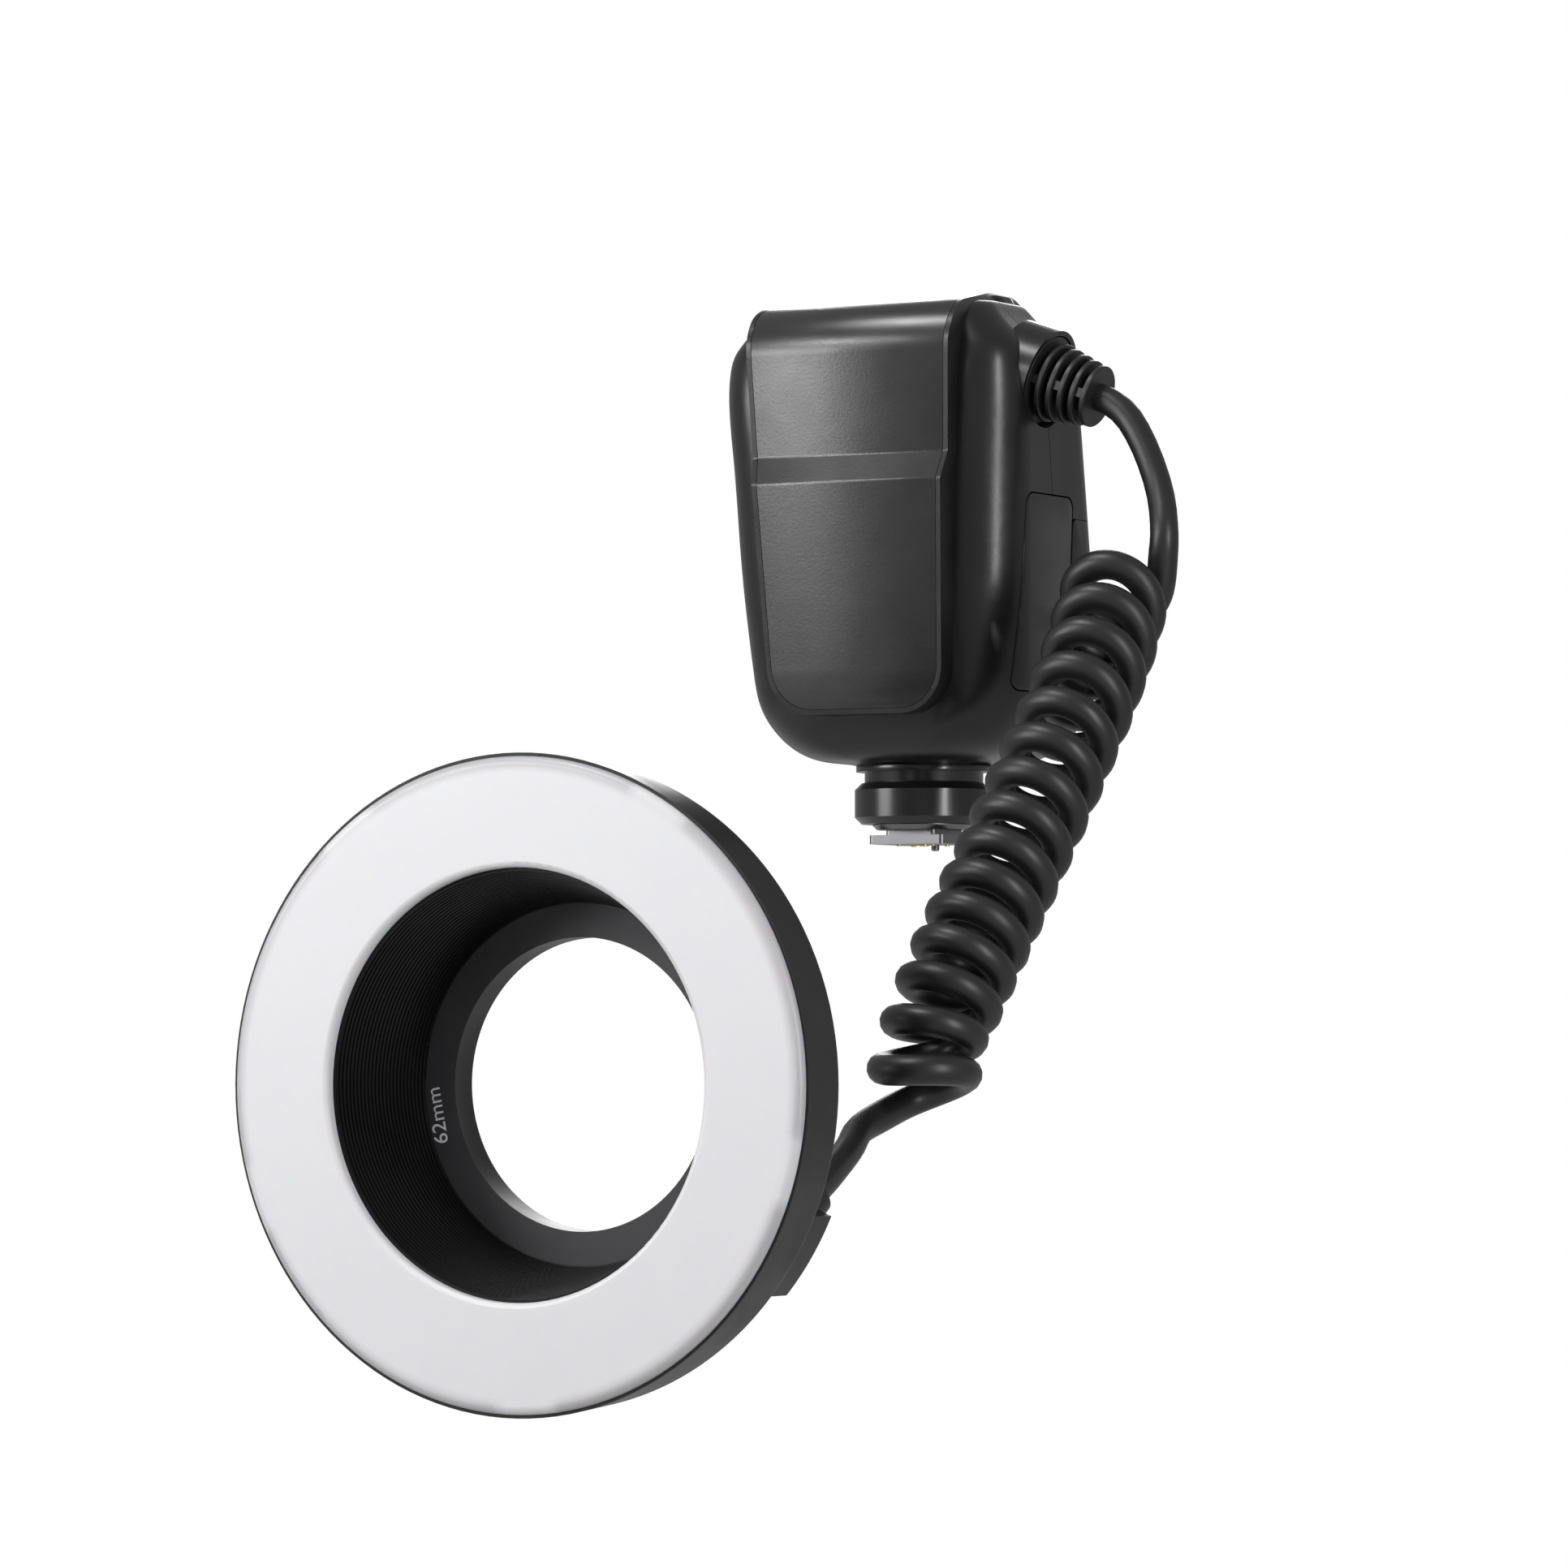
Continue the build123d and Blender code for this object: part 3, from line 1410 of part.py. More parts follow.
# Release buttons: a pad outside the hub, a half frame round the bore and a claw
pad_inner_x = frame_outer_radius + 2 * button_travel + stem_gap
stem_mid_z = frame_gap / 2 + stem_width / 2
claw_tip_x = hub_bore + running_fit
hub_inner_radius = hub_radius - hub_wall
spring_wall_x = sqrt(hub_inner_radius**2 - claw_mid_z**2) - stem_gap


def write_button(name, side):
    """One button; side 1 is pressed from the cord's side, -1 from the other."""
    with BuildPart() as button:
        with BuildSketch(ring_level(frame_front_depth)):
            Circle(frame_outer_radius)
            Circle(frame_inner_radius, mode=Mode.SUBTRACT)
            with Locations((0, side * frame_gap / 2)):
                half_align = (Align.CENTER, Align.MIN if side > 0 else Align.MAX)
                Rectangle(2 * hub_radius, hub_radius, align=half_align, mode=Mode.INTERSECT)
        extrude(amount=frame_front_depth - frame_rear_depth)
        with BuildSketch(ring_level(frame_front_depth)):
            with Locations((side * (frame_inner_radius + pad_inner_x) / 2, side * stem_mid_z)):
                Rectangle(pad_inner_x - frame_inner_radius, stem_width)
        extrude(amount=frame_front_depth - frame_rear_depth)
        with BuildSketch(ring_level(button_front_depth)):
            with Locations((side * (pad_inner_x + button_outer_radius) / 2, 0)):
                Rectangle(button_outer_radius - pad_inner_x, 2 * button_half_width)
        extrude(amount=button_front_depth - button_rear_depth)
        pad_faces = button.faces().sort_by(Axis.X)
        fillet(pad_faces[-1 if side > 0 else 0].edges(), button_corner)
        with BuildSketch(ring_level(frame_front_depth)):
            with Locations((-side * (frame_inner_radius + claw_root_radius) / 2, side * claw_mid_z)):
                Rectangle(claw_root_radius - frame_inner_radius, claw_width)
        extrude(amount=frame_front_depth - claw_rear_depth)
        with BuildSketch(ring_level(hub_floor + slide_fit)):
            with Locations((-side * (claw_tip_x + claw_root_radius) / 2, side * claw_mid_z)):
                Rectangle(claw_root_radius - claw_tip_x, claw_width)
        extrude(amount=hub_floor + slide_fit - claw_rear_depth)
    write(button, name)


write_button("release_button_right", 1)
write_button("release_button_left", -1)

with BuildPart() as latch_springs:
    for side in (-1, 1):
        middle = ring_level((frame_front_depth + frame_rear_depth) / 2).origin
        seat = middle + Vector(-side * spring_wall_x, 0, side * claw_mid_z)
        with BuildSketch(Plane(origin=seat, x_dir=(0, 1, 0), z_dir=(side, 0, 0))):
            Circle(latch_spring_radius)
            Circle(latch_spring_bore, mode=Mode.SUBTRACT)
        extrude(amount=latch_spring_length)
write(latch_springs, "latch_springs")

# Cord outlet on the rear cover, its gland pointing up and back
outlet_base = ring_sector(
    outlet_inner_radius, outlet_outer_radius, outlet_angle - outlet_half_angle, 2 * outlet_half_angle
)
outlet_tip = Vector(outlet_x, outlet_y, outlet_z) + outlet_axis * outlet_gland_length

with BuildPart() as cord_outlet:
    with BuildSketch(ring_level(ring_depth)):
        add(outlet_base)
    extrude(amount=ring_depth - outlet_rear_depth)
    fillet(cord_outlet.faces().sort_by(Axis.Y)[-1].edges(), outlet_edge)
    with BuildSketch(outlet_plane):
        Circle(outlet_gland_radius)
    with BuildSketch(outlet_plane.offset(outlet_gland_length)):
        Circle(outlet_gland_tip_radius)
    loft()
write(cord_outlet, "cord_outlet")

# Cord. The coil's centre line is a helix round a curved core line.
station_turns = [turn for turn, centre, normal in coil_stations]
station_values = [(*centre, *normal) for turn, centre, normal in coil_stations]


def station_slope(j):
    """How fast the station values change with the turn at station j."""
    low = max(j - 1, 0)
    high = min(j + 1, len(coil_stations) - 1)
    span = station_turns[high] - station_turns[low]
    return [(b - a) / span for a, b in zip(station_values[low], station_values[high])]


def coil_frame(turn):
    """Centre and downward normal of the helix at a turn, smoothly blended."""
    passed = sum(1 for t in station_turns if t <= turn)
    i = min(max(passed - 1, 0), len(coil_stations) - 2)
    span = station_turns[i + 1] - station_turns[i]
    u = (turn - station_turns[i]) / span
    rise = 3 * u**2 - 2 * u**3
    leave = u**3 - 2 * u**2 + u
    arrive = u**3 - u**2
    rows = zip(station_values[i], station_values[i + 1], station_slope(i), station_slope(i + 1))
    blend = [a + (b - a) * rise + (m * leave + n * arrive) * span for a, b, m, n in rows]
    return Vector(*blend[:3]), Vector(*blend[3:]).normalized()


def coil_point(turn):
    """A point of the coil's centre line."""
    centre, down = coil_frame(turn)
    side = Vector(*coil_side)
    across = (side - down * side.dot(down)).normalized()
    along = down.cross(across)
    angle = pi / 2 - 2 * pi * turn
    return centre + (across * cos(angle) + along * sin(angle)) * coil_radius


def coil_tangent(turn):
    """The direction in which the coil's centre line runs at a turn."""
    step = 1 / coil_arcs_per_turn / 1000
    return (coil_point(turn + step) - coil_point(turn - step)).normalized()


def arc_joint(start, end, leaving, arriving):
    """Where two arcs with equal handles meet between two points."""
    gap = end - start
    both = leaving + arriving
    bend = 2 * (1 - leaving.dot(arriving))
    handle = (sqrt(gap.dot(both) ** 2 + bend * gap.dot(gap)) - gap.dot(both)) / bend
    return (start + end + (leaving - arriving) * handle) / 2


coil_turns = coil_end_turn - coil_start_turn
coil_steps = round(coil_turns * coil_arcs_per_turn)
coil_marks = [coil_start_turn + coil_turns * i / coil_steps for i in range(coil_steps + 1)]
coil_spots = [coil_point(turn) for turn in coil_marks]
coil_leans = [coil_tangent(turn) for turn in coil_marks]
coil_top = coil_spots[0] - coil_leans[0] * coil_diameter
coil_bottom = coil_spots[-1] + coil_leans[-1] * coil_diameter

with BuildPart() as cord_coil:
    with BuildLine() as coil_path:
        Line(coil_top, coil_spots[0])
        for i in range(coil_steps):
            joint = arc_joint(coil_spots[i], coil_spots[i + 1], coil_leans[i], coil_leans[i + 1])
            first_arc = TangentArc(coil_spots[i], joint, tangent=coil_leans[i])
            TangentArc(joint, coil_spots[i + 1], tangent=first_arc % 1)
        Line(coil_spots[-1], coil_bottom)
    with BuildSketch(Plane(origin=coil_top, z_dir=coil_leans[0])):
        Circle(coil_diameter / 2)
    sweep()
write(cord_coil, "cord_coil")

path_arcs = [edge for edge in coil_path.edges() if edge.geom_type == GeomType.CIRCLE]
coil_length = sum(edge.length for edge in coil_path.edges())
coil_volume = pi * (coil_diameter / 2) ** 2 * coil_length
print("coil length", round(coil_length, 1), "tightest arc", round(min(e.radius for e in path_arcs), 2))
print("coil volume", round(cord_coil.part.volume), "section times length", round(coil_volume))

samples = [coil_point(coil_start_turn + coil_turns * i / 1200) for i in range(1201)]
sample_step = coil_length / 1200
skip = round(coil_radius * pi / sample_step)
least = min(
    (samples[i] - samples[j]).length
    for i in range(0, len(samples), gap_check_step)
    for j in range(i + skip, len(samples), gap_check_step)
)
print("least gap between the coil's turns", round(least - coil_diameter, 2))


def lead_radii(points):
    """The largest tangent arc at each corner that its two runs allow."""
    radii = []
    for before, corner, after in zip(points, points[1:], points[2:]):
        turn = radians((corner - before).get_angle(after - corner))
        shorter = min((corner - before).length, (after - corner).length)
        radii.append(run_share * shorter / tan(turn / 2))
    return radii


def write_lead(name, points):
    """One free stretch of the cord as straight runs joined by tangent arcs."""
    radii = lead_radii(points)
    with BuildPart() as lead:
        with BuildLine() as path:
            FilletPolyline(*points, radius=radii)
        with BuildSketch(Plane(origin=points[0], z_dir=points[1] - points[0])):
            Circle(lead_diameter / 2)
        sweep()
    write(lead, name)
    length = sum(edge.length for edge in path.edges())
    volume = pi * (lead_diameter / 2) ** 2 * length
    print(name, "length", round(length, 1), "radii", [round(radius, 1) for radius in radii])
    print(name, "volume", round(lead.part.volume), "section times length", round(volume))


upper_points = [boot_tip, boot_tip + boot_axis * upper_first_run]
upper_points += [Vector(*point) for point in upper_route]
upper_points += [coil_top - coil_leans[0] * upper_last_run, coil_top]
write_lead("cord_upper_lead", upper_points)
lower_points = [coil_bottom, coil_bottom + coil_leans[-1] * lower_first_run]
lower_points += [Vector(*point) for point in lower_route]
lower_points += [outlet_tip + outlet_axis * lower_last_run, outlet_tip]
write_lead("cord_lower_lead", lower_points)
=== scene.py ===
import math

import bpy
from mathutils import Matrix, Vector


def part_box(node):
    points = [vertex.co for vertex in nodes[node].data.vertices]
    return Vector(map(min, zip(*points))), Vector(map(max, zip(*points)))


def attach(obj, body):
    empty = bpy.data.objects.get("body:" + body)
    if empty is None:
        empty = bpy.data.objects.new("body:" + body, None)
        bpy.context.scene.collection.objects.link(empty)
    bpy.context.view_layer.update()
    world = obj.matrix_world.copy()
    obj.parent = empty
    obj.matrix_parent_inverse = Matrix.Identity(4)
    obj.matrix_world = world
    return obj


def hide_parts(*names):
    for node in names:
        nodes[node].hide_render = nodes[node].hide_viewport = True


# Macro ring flash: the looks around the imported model, in metres.

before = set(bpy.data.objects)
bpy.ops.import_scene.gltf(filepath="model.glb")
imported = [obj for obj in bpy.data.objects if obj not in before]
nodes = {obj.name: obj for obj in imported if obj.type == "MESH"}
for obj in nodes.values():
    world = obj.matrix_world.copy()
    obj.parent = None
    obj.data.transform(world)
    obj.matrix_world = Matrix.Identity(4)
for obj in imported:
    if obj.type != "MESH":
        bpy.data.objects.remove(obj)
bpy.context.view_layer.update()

scene = bpy.context.scene
lens_axis_z = -0.0525
rear_tilt = math.radians(14.4)
print_thickness = 0.00003
white = (1.0, 1.0, 1.0, 1.0)


# Small helpers for shader nodes
def feed(tree, socket, value):
    """Give a socket a number or a colour, or link another socket to it."""
    if isinstance(value, bpy.types.NodeSocket):
        tree.links.new(value, socket)
    else:
        socket.default_value = value


def add_noise(tree, scale, detail):
    """A noise over the object; its scale is a number or a socket."""
    place = tree.nodes.new("ShaderNodeTexCoord")
    noise = tree.nodes.new("ShaderNodeTexNoise")
    tree.links.new(place.outputs["Object"], noise.inputs["Vector"])
    feed(tree, noise.inputs["Scale"], scale)
    noise.inputs["Detail"].default_value = detail
    return noise.outputs["Fac"]


def add_math(tree, operation, *values):
    """The result of a math node whose inputs are numbers or sockets."""
    node = tree.nodes.new("ShaderNodeMath")
    node.operation = operation
    for socket, value in zip(node.inputs, values):
        feed(tree, socket, value)
    return node.outputs["Value"]


def add_range(tree, value, low, high, to_low=0.0, to_high=1.0, interpolation="LINEAR"):
    """A value stretched from one range to another."""
    node = tree.nodes.new("ShaderNodeMapRange")
    node.interpolation_type = interpolation
    tree.links.new(value, node.inputs["Value"])
    node.inputs["From Min"].default_value = low
    node.inputs["From Max"].default_value = high
    feed(tree, node.inputs["To Min"], to_low)
    feed(tree, node.inputs["To Max"], to_high)
    return node.outputs["Result"]


def mix_colours(tree, factor, first, second):
    """A colour between two, each given as a colour or a socket."""
    first_place, second_place, result_place = 6, 7, 2
    node = tree.nodes.new("ShaderNodeMix")
    node.data_type = "RGBA"
    tree.links.new(factor, node.inputs["Factor"])
    feed(tree, node.inputs[first_place], first)
    feed(tree, node.inputs[second_place], second)
    return node.outputs[result_place]


# Node groups for effects that several materials share
def new_group(name, inputs, outputs):
    """An empty shader node group with its sockets."""
    group = bpy.data.node_groups.new(name, "ShaderNodeTree")
    for label, value in inputs:
        socket = group.interface.new_socket(label, in_out="INPUT", socket_type="NodeSocketFloat")
        socket.default_value = value
    for label in outputs:
        group.interface.new_socket(label, in_out="OUTPUT", socket_type="NodeSocketFloat")
    start = group.nodes.new("NodeGroupInput")
    end = group.nodes.new("NodeGroupOutput")
    return group, start, end


def spark_grain():
    """Fine spark-eroded grain of a mould: a height and an uneven gloss."""
    fine_detail = 3
    broad_scale, broad_detail = 90, 4
    noise_low, noise_high = 0.3, 0.7
    group, start, end = new_group(
        "spark_grain",
        [("Size", 0.0004), ("Low", 0.3), ("High", 0.45)],
        ["Height", "Roughness"],
    )
    pitch = add_math(group, "DIVIDE", 1.0, start.outputs["Size"])
    fine = add_noise(group, pitch, fine_detail)
    broad = add_noise(group, broad_scale, broad_detail)
    gloss = add_range(group, broad, noise_low, noise_high, start.outputs["Low"], start.outputs["High"])
    group.links.new(fine, end.inputs["Height"])
    group.links.new(gloss, end.inputs["Roughness"])
    return group


def lens_polar():
    """Distance from the lens axis and clockwise angle from the top, as a share of a turn."""
    group, start, end = new_group("lens_polar", [("Axis Z", lens_axis_z)], ["Radius", "Turn"])
    place = group.nodes.new("ShaderNodeTexCoord")
    parts = group.nodes.new("ShaderNodeSeparateXYZ")
    group.links.new(place.outputs["Object"], parts.inputs["Vector"])
    up = add_math(group, "SUBTRACT", parts.outputs["Z"], start.outputs["Axis Z"])
    across = parts.outputs["X"]
    square = add_math(group, "MULTIPLY", up, up)
    total = add_math(group, "MULTIPLY_ADD", across, across, square)
    radius = add_math(group, "SQRT", total)
    angle = add_math(group, "ARCTAN2", across, up)
    share = add_math(group, "DIVIDE", angle, 2 * math.pi)
    turn = add_math(group, "WRAP", share, 1.0, 0.0)
    group.links.new(radius, end.inputs["Radius"])
    group.links.new(turn, end.inputs["Turn"])
    return group


grain_group = spark_grain()
polar_group = lens_polar()


def place_group(tree, group, **values):
    """Put a shared group in a material with its own values."""
    node = tree.nodes.new("ShaderNodeGroup")
    node.node_tree = group
    for label, value in values.items():
        node.inputs[label].default_value = value
    return node


# Kinds of finish
def new_material(name, colour, roughness, metallic=0.0, coat=0.0, specular=0.5):
    """A material with one shader, its tree and the shader node."""
    coat_roughness = 0.12
    material = bpy.data.materials.new(name)
    material.use_nodes = True
    material.diffuse_color = (*colour, 1.0)
    tree = material.node_tree
    shader = tree.nodes["Principled BSDF"]
    shader.inputs["Base Color"].default_value = (*colour, 1.0)
    shader.inputs["Roughness"].default_value = roughness
    shader.inputs["Metallic"].default_value = metallic
    shader.inputs["Coat Weight"].default_value = coat
    shader.inputs["Coat Roughness"].default_value = coat_roughness
    shader.inputs["Specular IOR Level"].default_value = specular
    return material, tree, shader


def grained(name, colour, low, high, size, depth, metallic=0.0, coat=0.0, specular=0.5):
    """A moulded or blasted finish: grain of a size and depth, roughness from low to high."""
    mottle_scale, mottle_detail = 140, 3
    mottle_share = 0.15
    material, tree, shader = new_material(name, colour, high, metallic, coat, specular)
    grain = place_group(tree, grain_group, Size=size, Low=low, High=high)
    bump = tree.nodes.new("ShaderNodeBump")
    bump.inputs["Distance"].default_value = depth
    bump.inputs["Strength"].default_value = 1.0
    tree.links.new(grain.outputs["Height"], bump.inputs["Height"])
    tree.links.new(bump.outputs["Normal"], shader.inputs["Normal"])
    tree.links.new(grain.outputs["Roughness"], shader.inputs["Roughness"])
    mottle = add_noise(tree, mottle_scale, mottle_detail)
    darker = (*[c * (1 - mottle_share) for c in colour], 1.0)
    lighter = (*[min(c * (1 + mottle_share), 1.0) for c in colour], 1.0)
    tree.links.new(mix_colours(tree, mottle, darker, lighter), shader.inputs["Base Color"])
    return material


def clear(name, colour, roughness, clearness):
    """Clear glass or plastic, a little dusty."""
    refraction = 1.49
    dust_size, dust_spread = 0.0012, 0.04
    material, tree, shader = new_material(name, colour, roughness)
    shader.inputs["Transmission Weight"].default_value = clearness
    shader.inputs["IOR"].default_value = refraction
    dust = place_group(tree, grain_group, Size=dust_size, Low=roughness, High=roughness + dust_spread)
    tree.links.new(dust.outputs["Roughness"], shader.inputs["Roughness"])
    return material


# Finishes: colour, least and most roughness, size and depth of the grain
shell_black = grained("shell_black", (0.009, 0.009, 0.01), 0.28, 0.34, 0.0005, 0.00001)
plate_black = grained("plate_black", (0.012, 0.012, 0.013), 0.27, 0.33, 0.0006, 0.00002, specular=0.75)
collar_black = grained("collar_black", (0.008, 0.008, 0.009), 0.2, 0.28, 0.0008, 0.000005, specular=0.6)
ring_black = grained("ring_black", (0.008, 0.008, 0.009), 0.36, 0.44, 0.0005, 0.00001, specular=0.36)
baffle_black = grained("baffle_black", (0.006, 0.006, 0.007), 0.34, 0.42, 0.0005, 0.00001, specular=0.2)
panel_black = grained("panel_black", (0.02, 0.02, 0.022), 0.16, 0.24, 0.0007, 0.000004, coat=0.2)
key_grey = grained("key_grey", (0.055, 0.055, 0.06), 0.5, 0.62, 0.0005, 0.00002)
flap_rubber = grained("flap_rubber", (0.02, 0.02, 0.021), 0.55, 0.65, 0.0006, 0.00002)
cord_rubber = grained("cord_rubber", (0.012, 0.012, 0.013), 0.38, 0.46, 0.0007, 0.00001)
inner_black = grained("inner_black", (0.03, 0.03, 0.032), 0.45, 0.6, 0.0005, 0.00001)
board_green = grained("board_green", (0.02, 0.14, 0.06), 0.3, 0.4, 0.0009, 0.00001)
shoe_steel = grained("shoe_steel", (0.2, 0.2, 0.21), 0.28, 0.4, 0.0009, 0.000003, metallic=1.0)
screw_steel = grained("screw_steel", (0.4, 0.4, 0.42), 0.25, 0.4, 0.0004, 0.000004, metallic=1.0)
contact_gold = grained("contact_gold", (0.83, 0.6, 0.24), 0.2, 0.32, 0.0005, 0.000002, metallic=1.0)
adapter_anodised = grained(
    "adapter_anodised", (0.045, 0.045, 0.05), 0.42, 0.5, 0.0004, 0.000008, metallic=0.3
)
pan_mirror = grained("pan_mirror", (0.86, 0.86, 0.88), 0.08, 0.2, 0.0012, 0.000004, metallic=1.0)
mark_white = grained("mark_white", (0.72, 0.73, 0.75), 0.5, 0.6, 0.0004, 0.000002)
display_grey = grained("display_grey", (0.3, 0.35, 0.3), 0.3, 0.4, 0.0009, 0.000002)

# Clear finishes: colour, roughness and how much light goes through
display_glass = clear("display_glass", (0.75, 0.78, 0.78), 0.03, 0.9)
tube_glass = clear("tube_glass", (0.95, 0.96, 0.98), 0.05, 0.6)
lamp_clear = clear("lamp_clear", (0.95, 0.9, 0.72), 0.1, 0.6)


def rim_windows(tree, turn):
    """White in the rim's five windows and black between them, by the angle round the lens axis."""
    middles = (31.0, 105.0, 177.0, 249.0, 323.0)
    clear_half, faded_half = 5.0, 7.0
    profile = ((-faded_half, 0.0), (-clear_half, 1.0), (clear_half, 1.0), (faded_half, 0.0))
    windows = tree.nodes.new("ShaderNodeValToRGB")
    ramp = windows.color_ramp
    ramp.interpolation = "LINEAR"
    for place, position in ((0, 0.0), (1, 1.0)):
        ramp.elements[place].position = position
        ramp.elements[place].color = (0.0, 0.0, 0.0, 1.0)
    for middle in middles:
        for offset, value in profile:
            element = ramp.elements.new((middle + offset) / 360.0)
            element.color = (value, value, value, 1.0)
    tree.links.new(turn, windows.inputs["Fac"])
    return windows.outputs["Color"]


def milky_diffuser():
    """Milky lens of the lamp: a white face with painted light and shade, lighter at the top and darker at
    the bottom, and a greyer rim with lighter windows.
    """
    rim_inner, rim_outer = 0.0625, 0.0655
    face_reach = 0.066
    # Painted light and shade: the face's colour at the bottom (darker) and at the top (lighter)
    painted_shade_bottom, painted_light_top = (0.71, 0.7, 0.73, 1.0), (0.79, 0.78, 0.81, 1.0)
    rim_grey, window_grey = (0.5, 0.49, 0.52, 1.0), (0.7, 0.69, 0.72, 1.0)
    frost_size, frost_low, frost_high = 0.0006, 0.34, 0.42
    glow_share, glow_depth = 0.25, 0.003
    material, tree, shader = new_material("milky_diffuser", (0.8, 0.83, 0.87), frost_high)
    polar = place_group(tree, polar_group)
    place = tree.nodes.new("ShaderNodeTexCoord")
    parts = tree.nodes.new("ShaderNodeSeparateXYZ")
    tree.links.new(place.outputs["Object"], parts.inputs["Vector"])
    # Painted light and shade: the face's colour runs from darker at the bottom to lighter at the top, as
    # the light falls on it
    rise = add_range(tree, parts.outputs["Z"], lens_axis_z - face_reach, lens_axis_z + face_reach)
    face = mix_colours(tree, rise, painted_shade_bottom, painted_light_top)
    rim = mix_colours(tree, rim_windows(tree, polar.outputs["Turn"]), rim_grey, window_grey)
    band = add_range(tree, polar.outputs["Radius"], rim_inner, rim_outer, interpolation="SMOOTHSTEP")
    tree.links.new(mix_colours(tree, band, face, rim), shader.inputs["Base Color"])
    frost = place_group(tree, grain_group, Size=frost_size, Low=frost_low, High=frost_high)
    tree.links.new(frost.outputs["Roughness"], shader.inputs["Roughness"])
    shader.inputs["Subsurface Weight"].default_value = glow_share
    shader.inputs["Subsurface Scale"].default_value = glow_depth
    return material


diffuser_milky = milky_diffuser()

node_finishes = [
    (shell_black, "front_shell rear_shell battery_pack battery_latch power_switch"),
    (ring_black, "ring_housing rear_cover release_button_left release_button_right"),
    (plate_black, "front_plate"),
    (collar_black, "foot_collar lock_wheel"),
    (shoe_steel, "shoe_plate shoe_barrel clamp_washer lock_pin"),
    (screw_steel, "foot_screws shell_screws ring_screws latch_springs"),
    (contact_gold, "contact_pins battery_contacts"),
    (panel_black, "control_panel"),
    (key_grey, "function_key_1 function_key_2 function_key_3 function_key_4 menu_key mode_key"),
    (key_grey, "test_key lamp_key set_button select_dial"),
    (display_glass, "display_window"),
    (display_grey, "display_module"),
    (board_green, "control_board power_board trigger_board led_boards"),
    (inner_black, "key_switches sockets battery_bay main_capacitor"),
    (flap_rubber, "port_cover"),
    (cord_rubber, "cable_boot cord_outlet cord_coil cord_upper_lead cord_lower_lead"),
    (diffuser_milky, "diffuser"),
    (baffle_black, "bore_baffle"),
    (pan_mirror, "reflector_pan"),
    (tube_glass, "flash_tubes"),
    (lamp_clear, "modelling_lamps"),
    (adapter_anodised, "adapter_ring"),
]
for finish, names in node_finishes:
    for name in names.split():
        for place in nodes[name].material_slots:
            place.material = finish


# Casings whose edges are slightly rounded
def soft_edged(name, body, finish, width):
    """A copy of a rigid piece whose sharp edges are slightly rounded, as moulding leaves them."""
    sharp_angle, flat_angle = math.radians(38.0), math.radians(0.3)
    merge_distance = 0.000002
    bpy.ops.object.select_all(action="DESELECT")
    mesh = bpy.data.meshes.new_from_object(nodes[name])
    piece = bpy.data.objects.new(name + "_moulded", mesh)
    scene.collection.objects.link(piece)
    bpy.context.view_layer.objects.active = piece
    piece.select_set(True)
    bpy.ops.mesh.customdata_custom_splitnormals_clear()
    bpy.ops.object.mode_set(mode="EDIT")
    bpy.ops.mesh.select_all(action="SELECT")
    bpy.ops.mesh.remove_doubles(threshold=merge_distance)
    bpy.ops.mesh.dissolve_limited(angle_limit=flat_angle)
    bpy.ops.object.mode_set(mode="OBJECT")
    bevel = piece.modifiers.new("edges", "BEVEL")
    bevel.width = width
    bevel.segments = 2
    bevel.limit_method = "ANGLE"
    bevel.angle_limit = sharp_angle
    bevel.use_clamp_overlap = True
    bpy.ops.object.modifier_apply(modifier="edges")
    bpy.ops.object.shade_smooth_by_angle(angle=sharp_angle)
    piece.data.materials.clear()
    piece.data.materials.append(finish)
    piece.select_set(False)
    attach(piece, body)
    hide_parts(name)


moulded = [
    ("front_plate", "unit", "plate_plastic", plate_black, 0.00025),
    ("battery_pack", "battery", "shell_plastic", shell_black, 0.0002),
    ("battery_latch", "latch", "shell_plastic", shell_black, 0.0002),
    ("foot_collar", "unit", "collar_plastic", collar_black, 0.00025),
    ("control_panel", "unit", "panel_plastic", panel_black, 0.00015),
    ("rear_cover", "unit", "shell_plastic", ring_black, 0.00025),
    ("release_button_left", "left_release", "shell_plastic", ring_black, 0.00025),
    ("release_button_right", "right_release", "shell_plastic", ring_black, 0.00025),
]
for name, body, slot, finish, width in moulded:
    soft_edged(name, body, finish, width)

# Curly cord: the free stretches and the coil are one smooth line.
# A station of the coil has its turn, its centre and the way that its axis runs.
coil_radius = 0.009
coil_start_turn = 0.25
coil_end_turn = 15.64
coil_points_per_turn = 16
cord_radius = 0.00325
free_radius_share = 0.94
coil_side = Vector((0.879, 0.476, 0.0))
coil_stations = [
    (0.0, (0.0589, -0.0206, 0.0576), (0.33, -0.83, -0.42)),
    (1.0, (0.0598, -0.0270, 0.0508), (0.296, -0.821, -0.47)),
    (3.0, (0.0611, -0.0392, 0.0364), (0.22, -0.79, -0.57)),
    (6.0, (0.0610, -0.0593, 0.0141), (0.06, -0.667, -0.743)),
    (9.0, (0.0599, -0.0786, -0.0077), (0.004, -0.62, -0.785)),
    (12.0, (0.0584, -0.0953, -0.0276), (-0.02, -0.50, -0.865)),
    (13.5, (0.0577, -0.1038, -0.0383), (0.06, -0.34, -0.94)),
    (14.9, (0.0574, -0.1113, -0.0491), (0.191, 0.028, -0.949)),
    (15.75, (0.0585, -0.1104, -0.0574), (0.142, 0.152, -0.95)),
]
upper_points = [
    (0.04974, -0.0130, 0.09669),
    (0.05447, -0.0130, 0.09508),
    (0.0604, -0.0140, 0.0876),
    (0.0664, -0.0166, 0.0755),
    (0.06960, -0.02148, 0.06601),
    (0.06870, -0.02035, 0.06164),
]
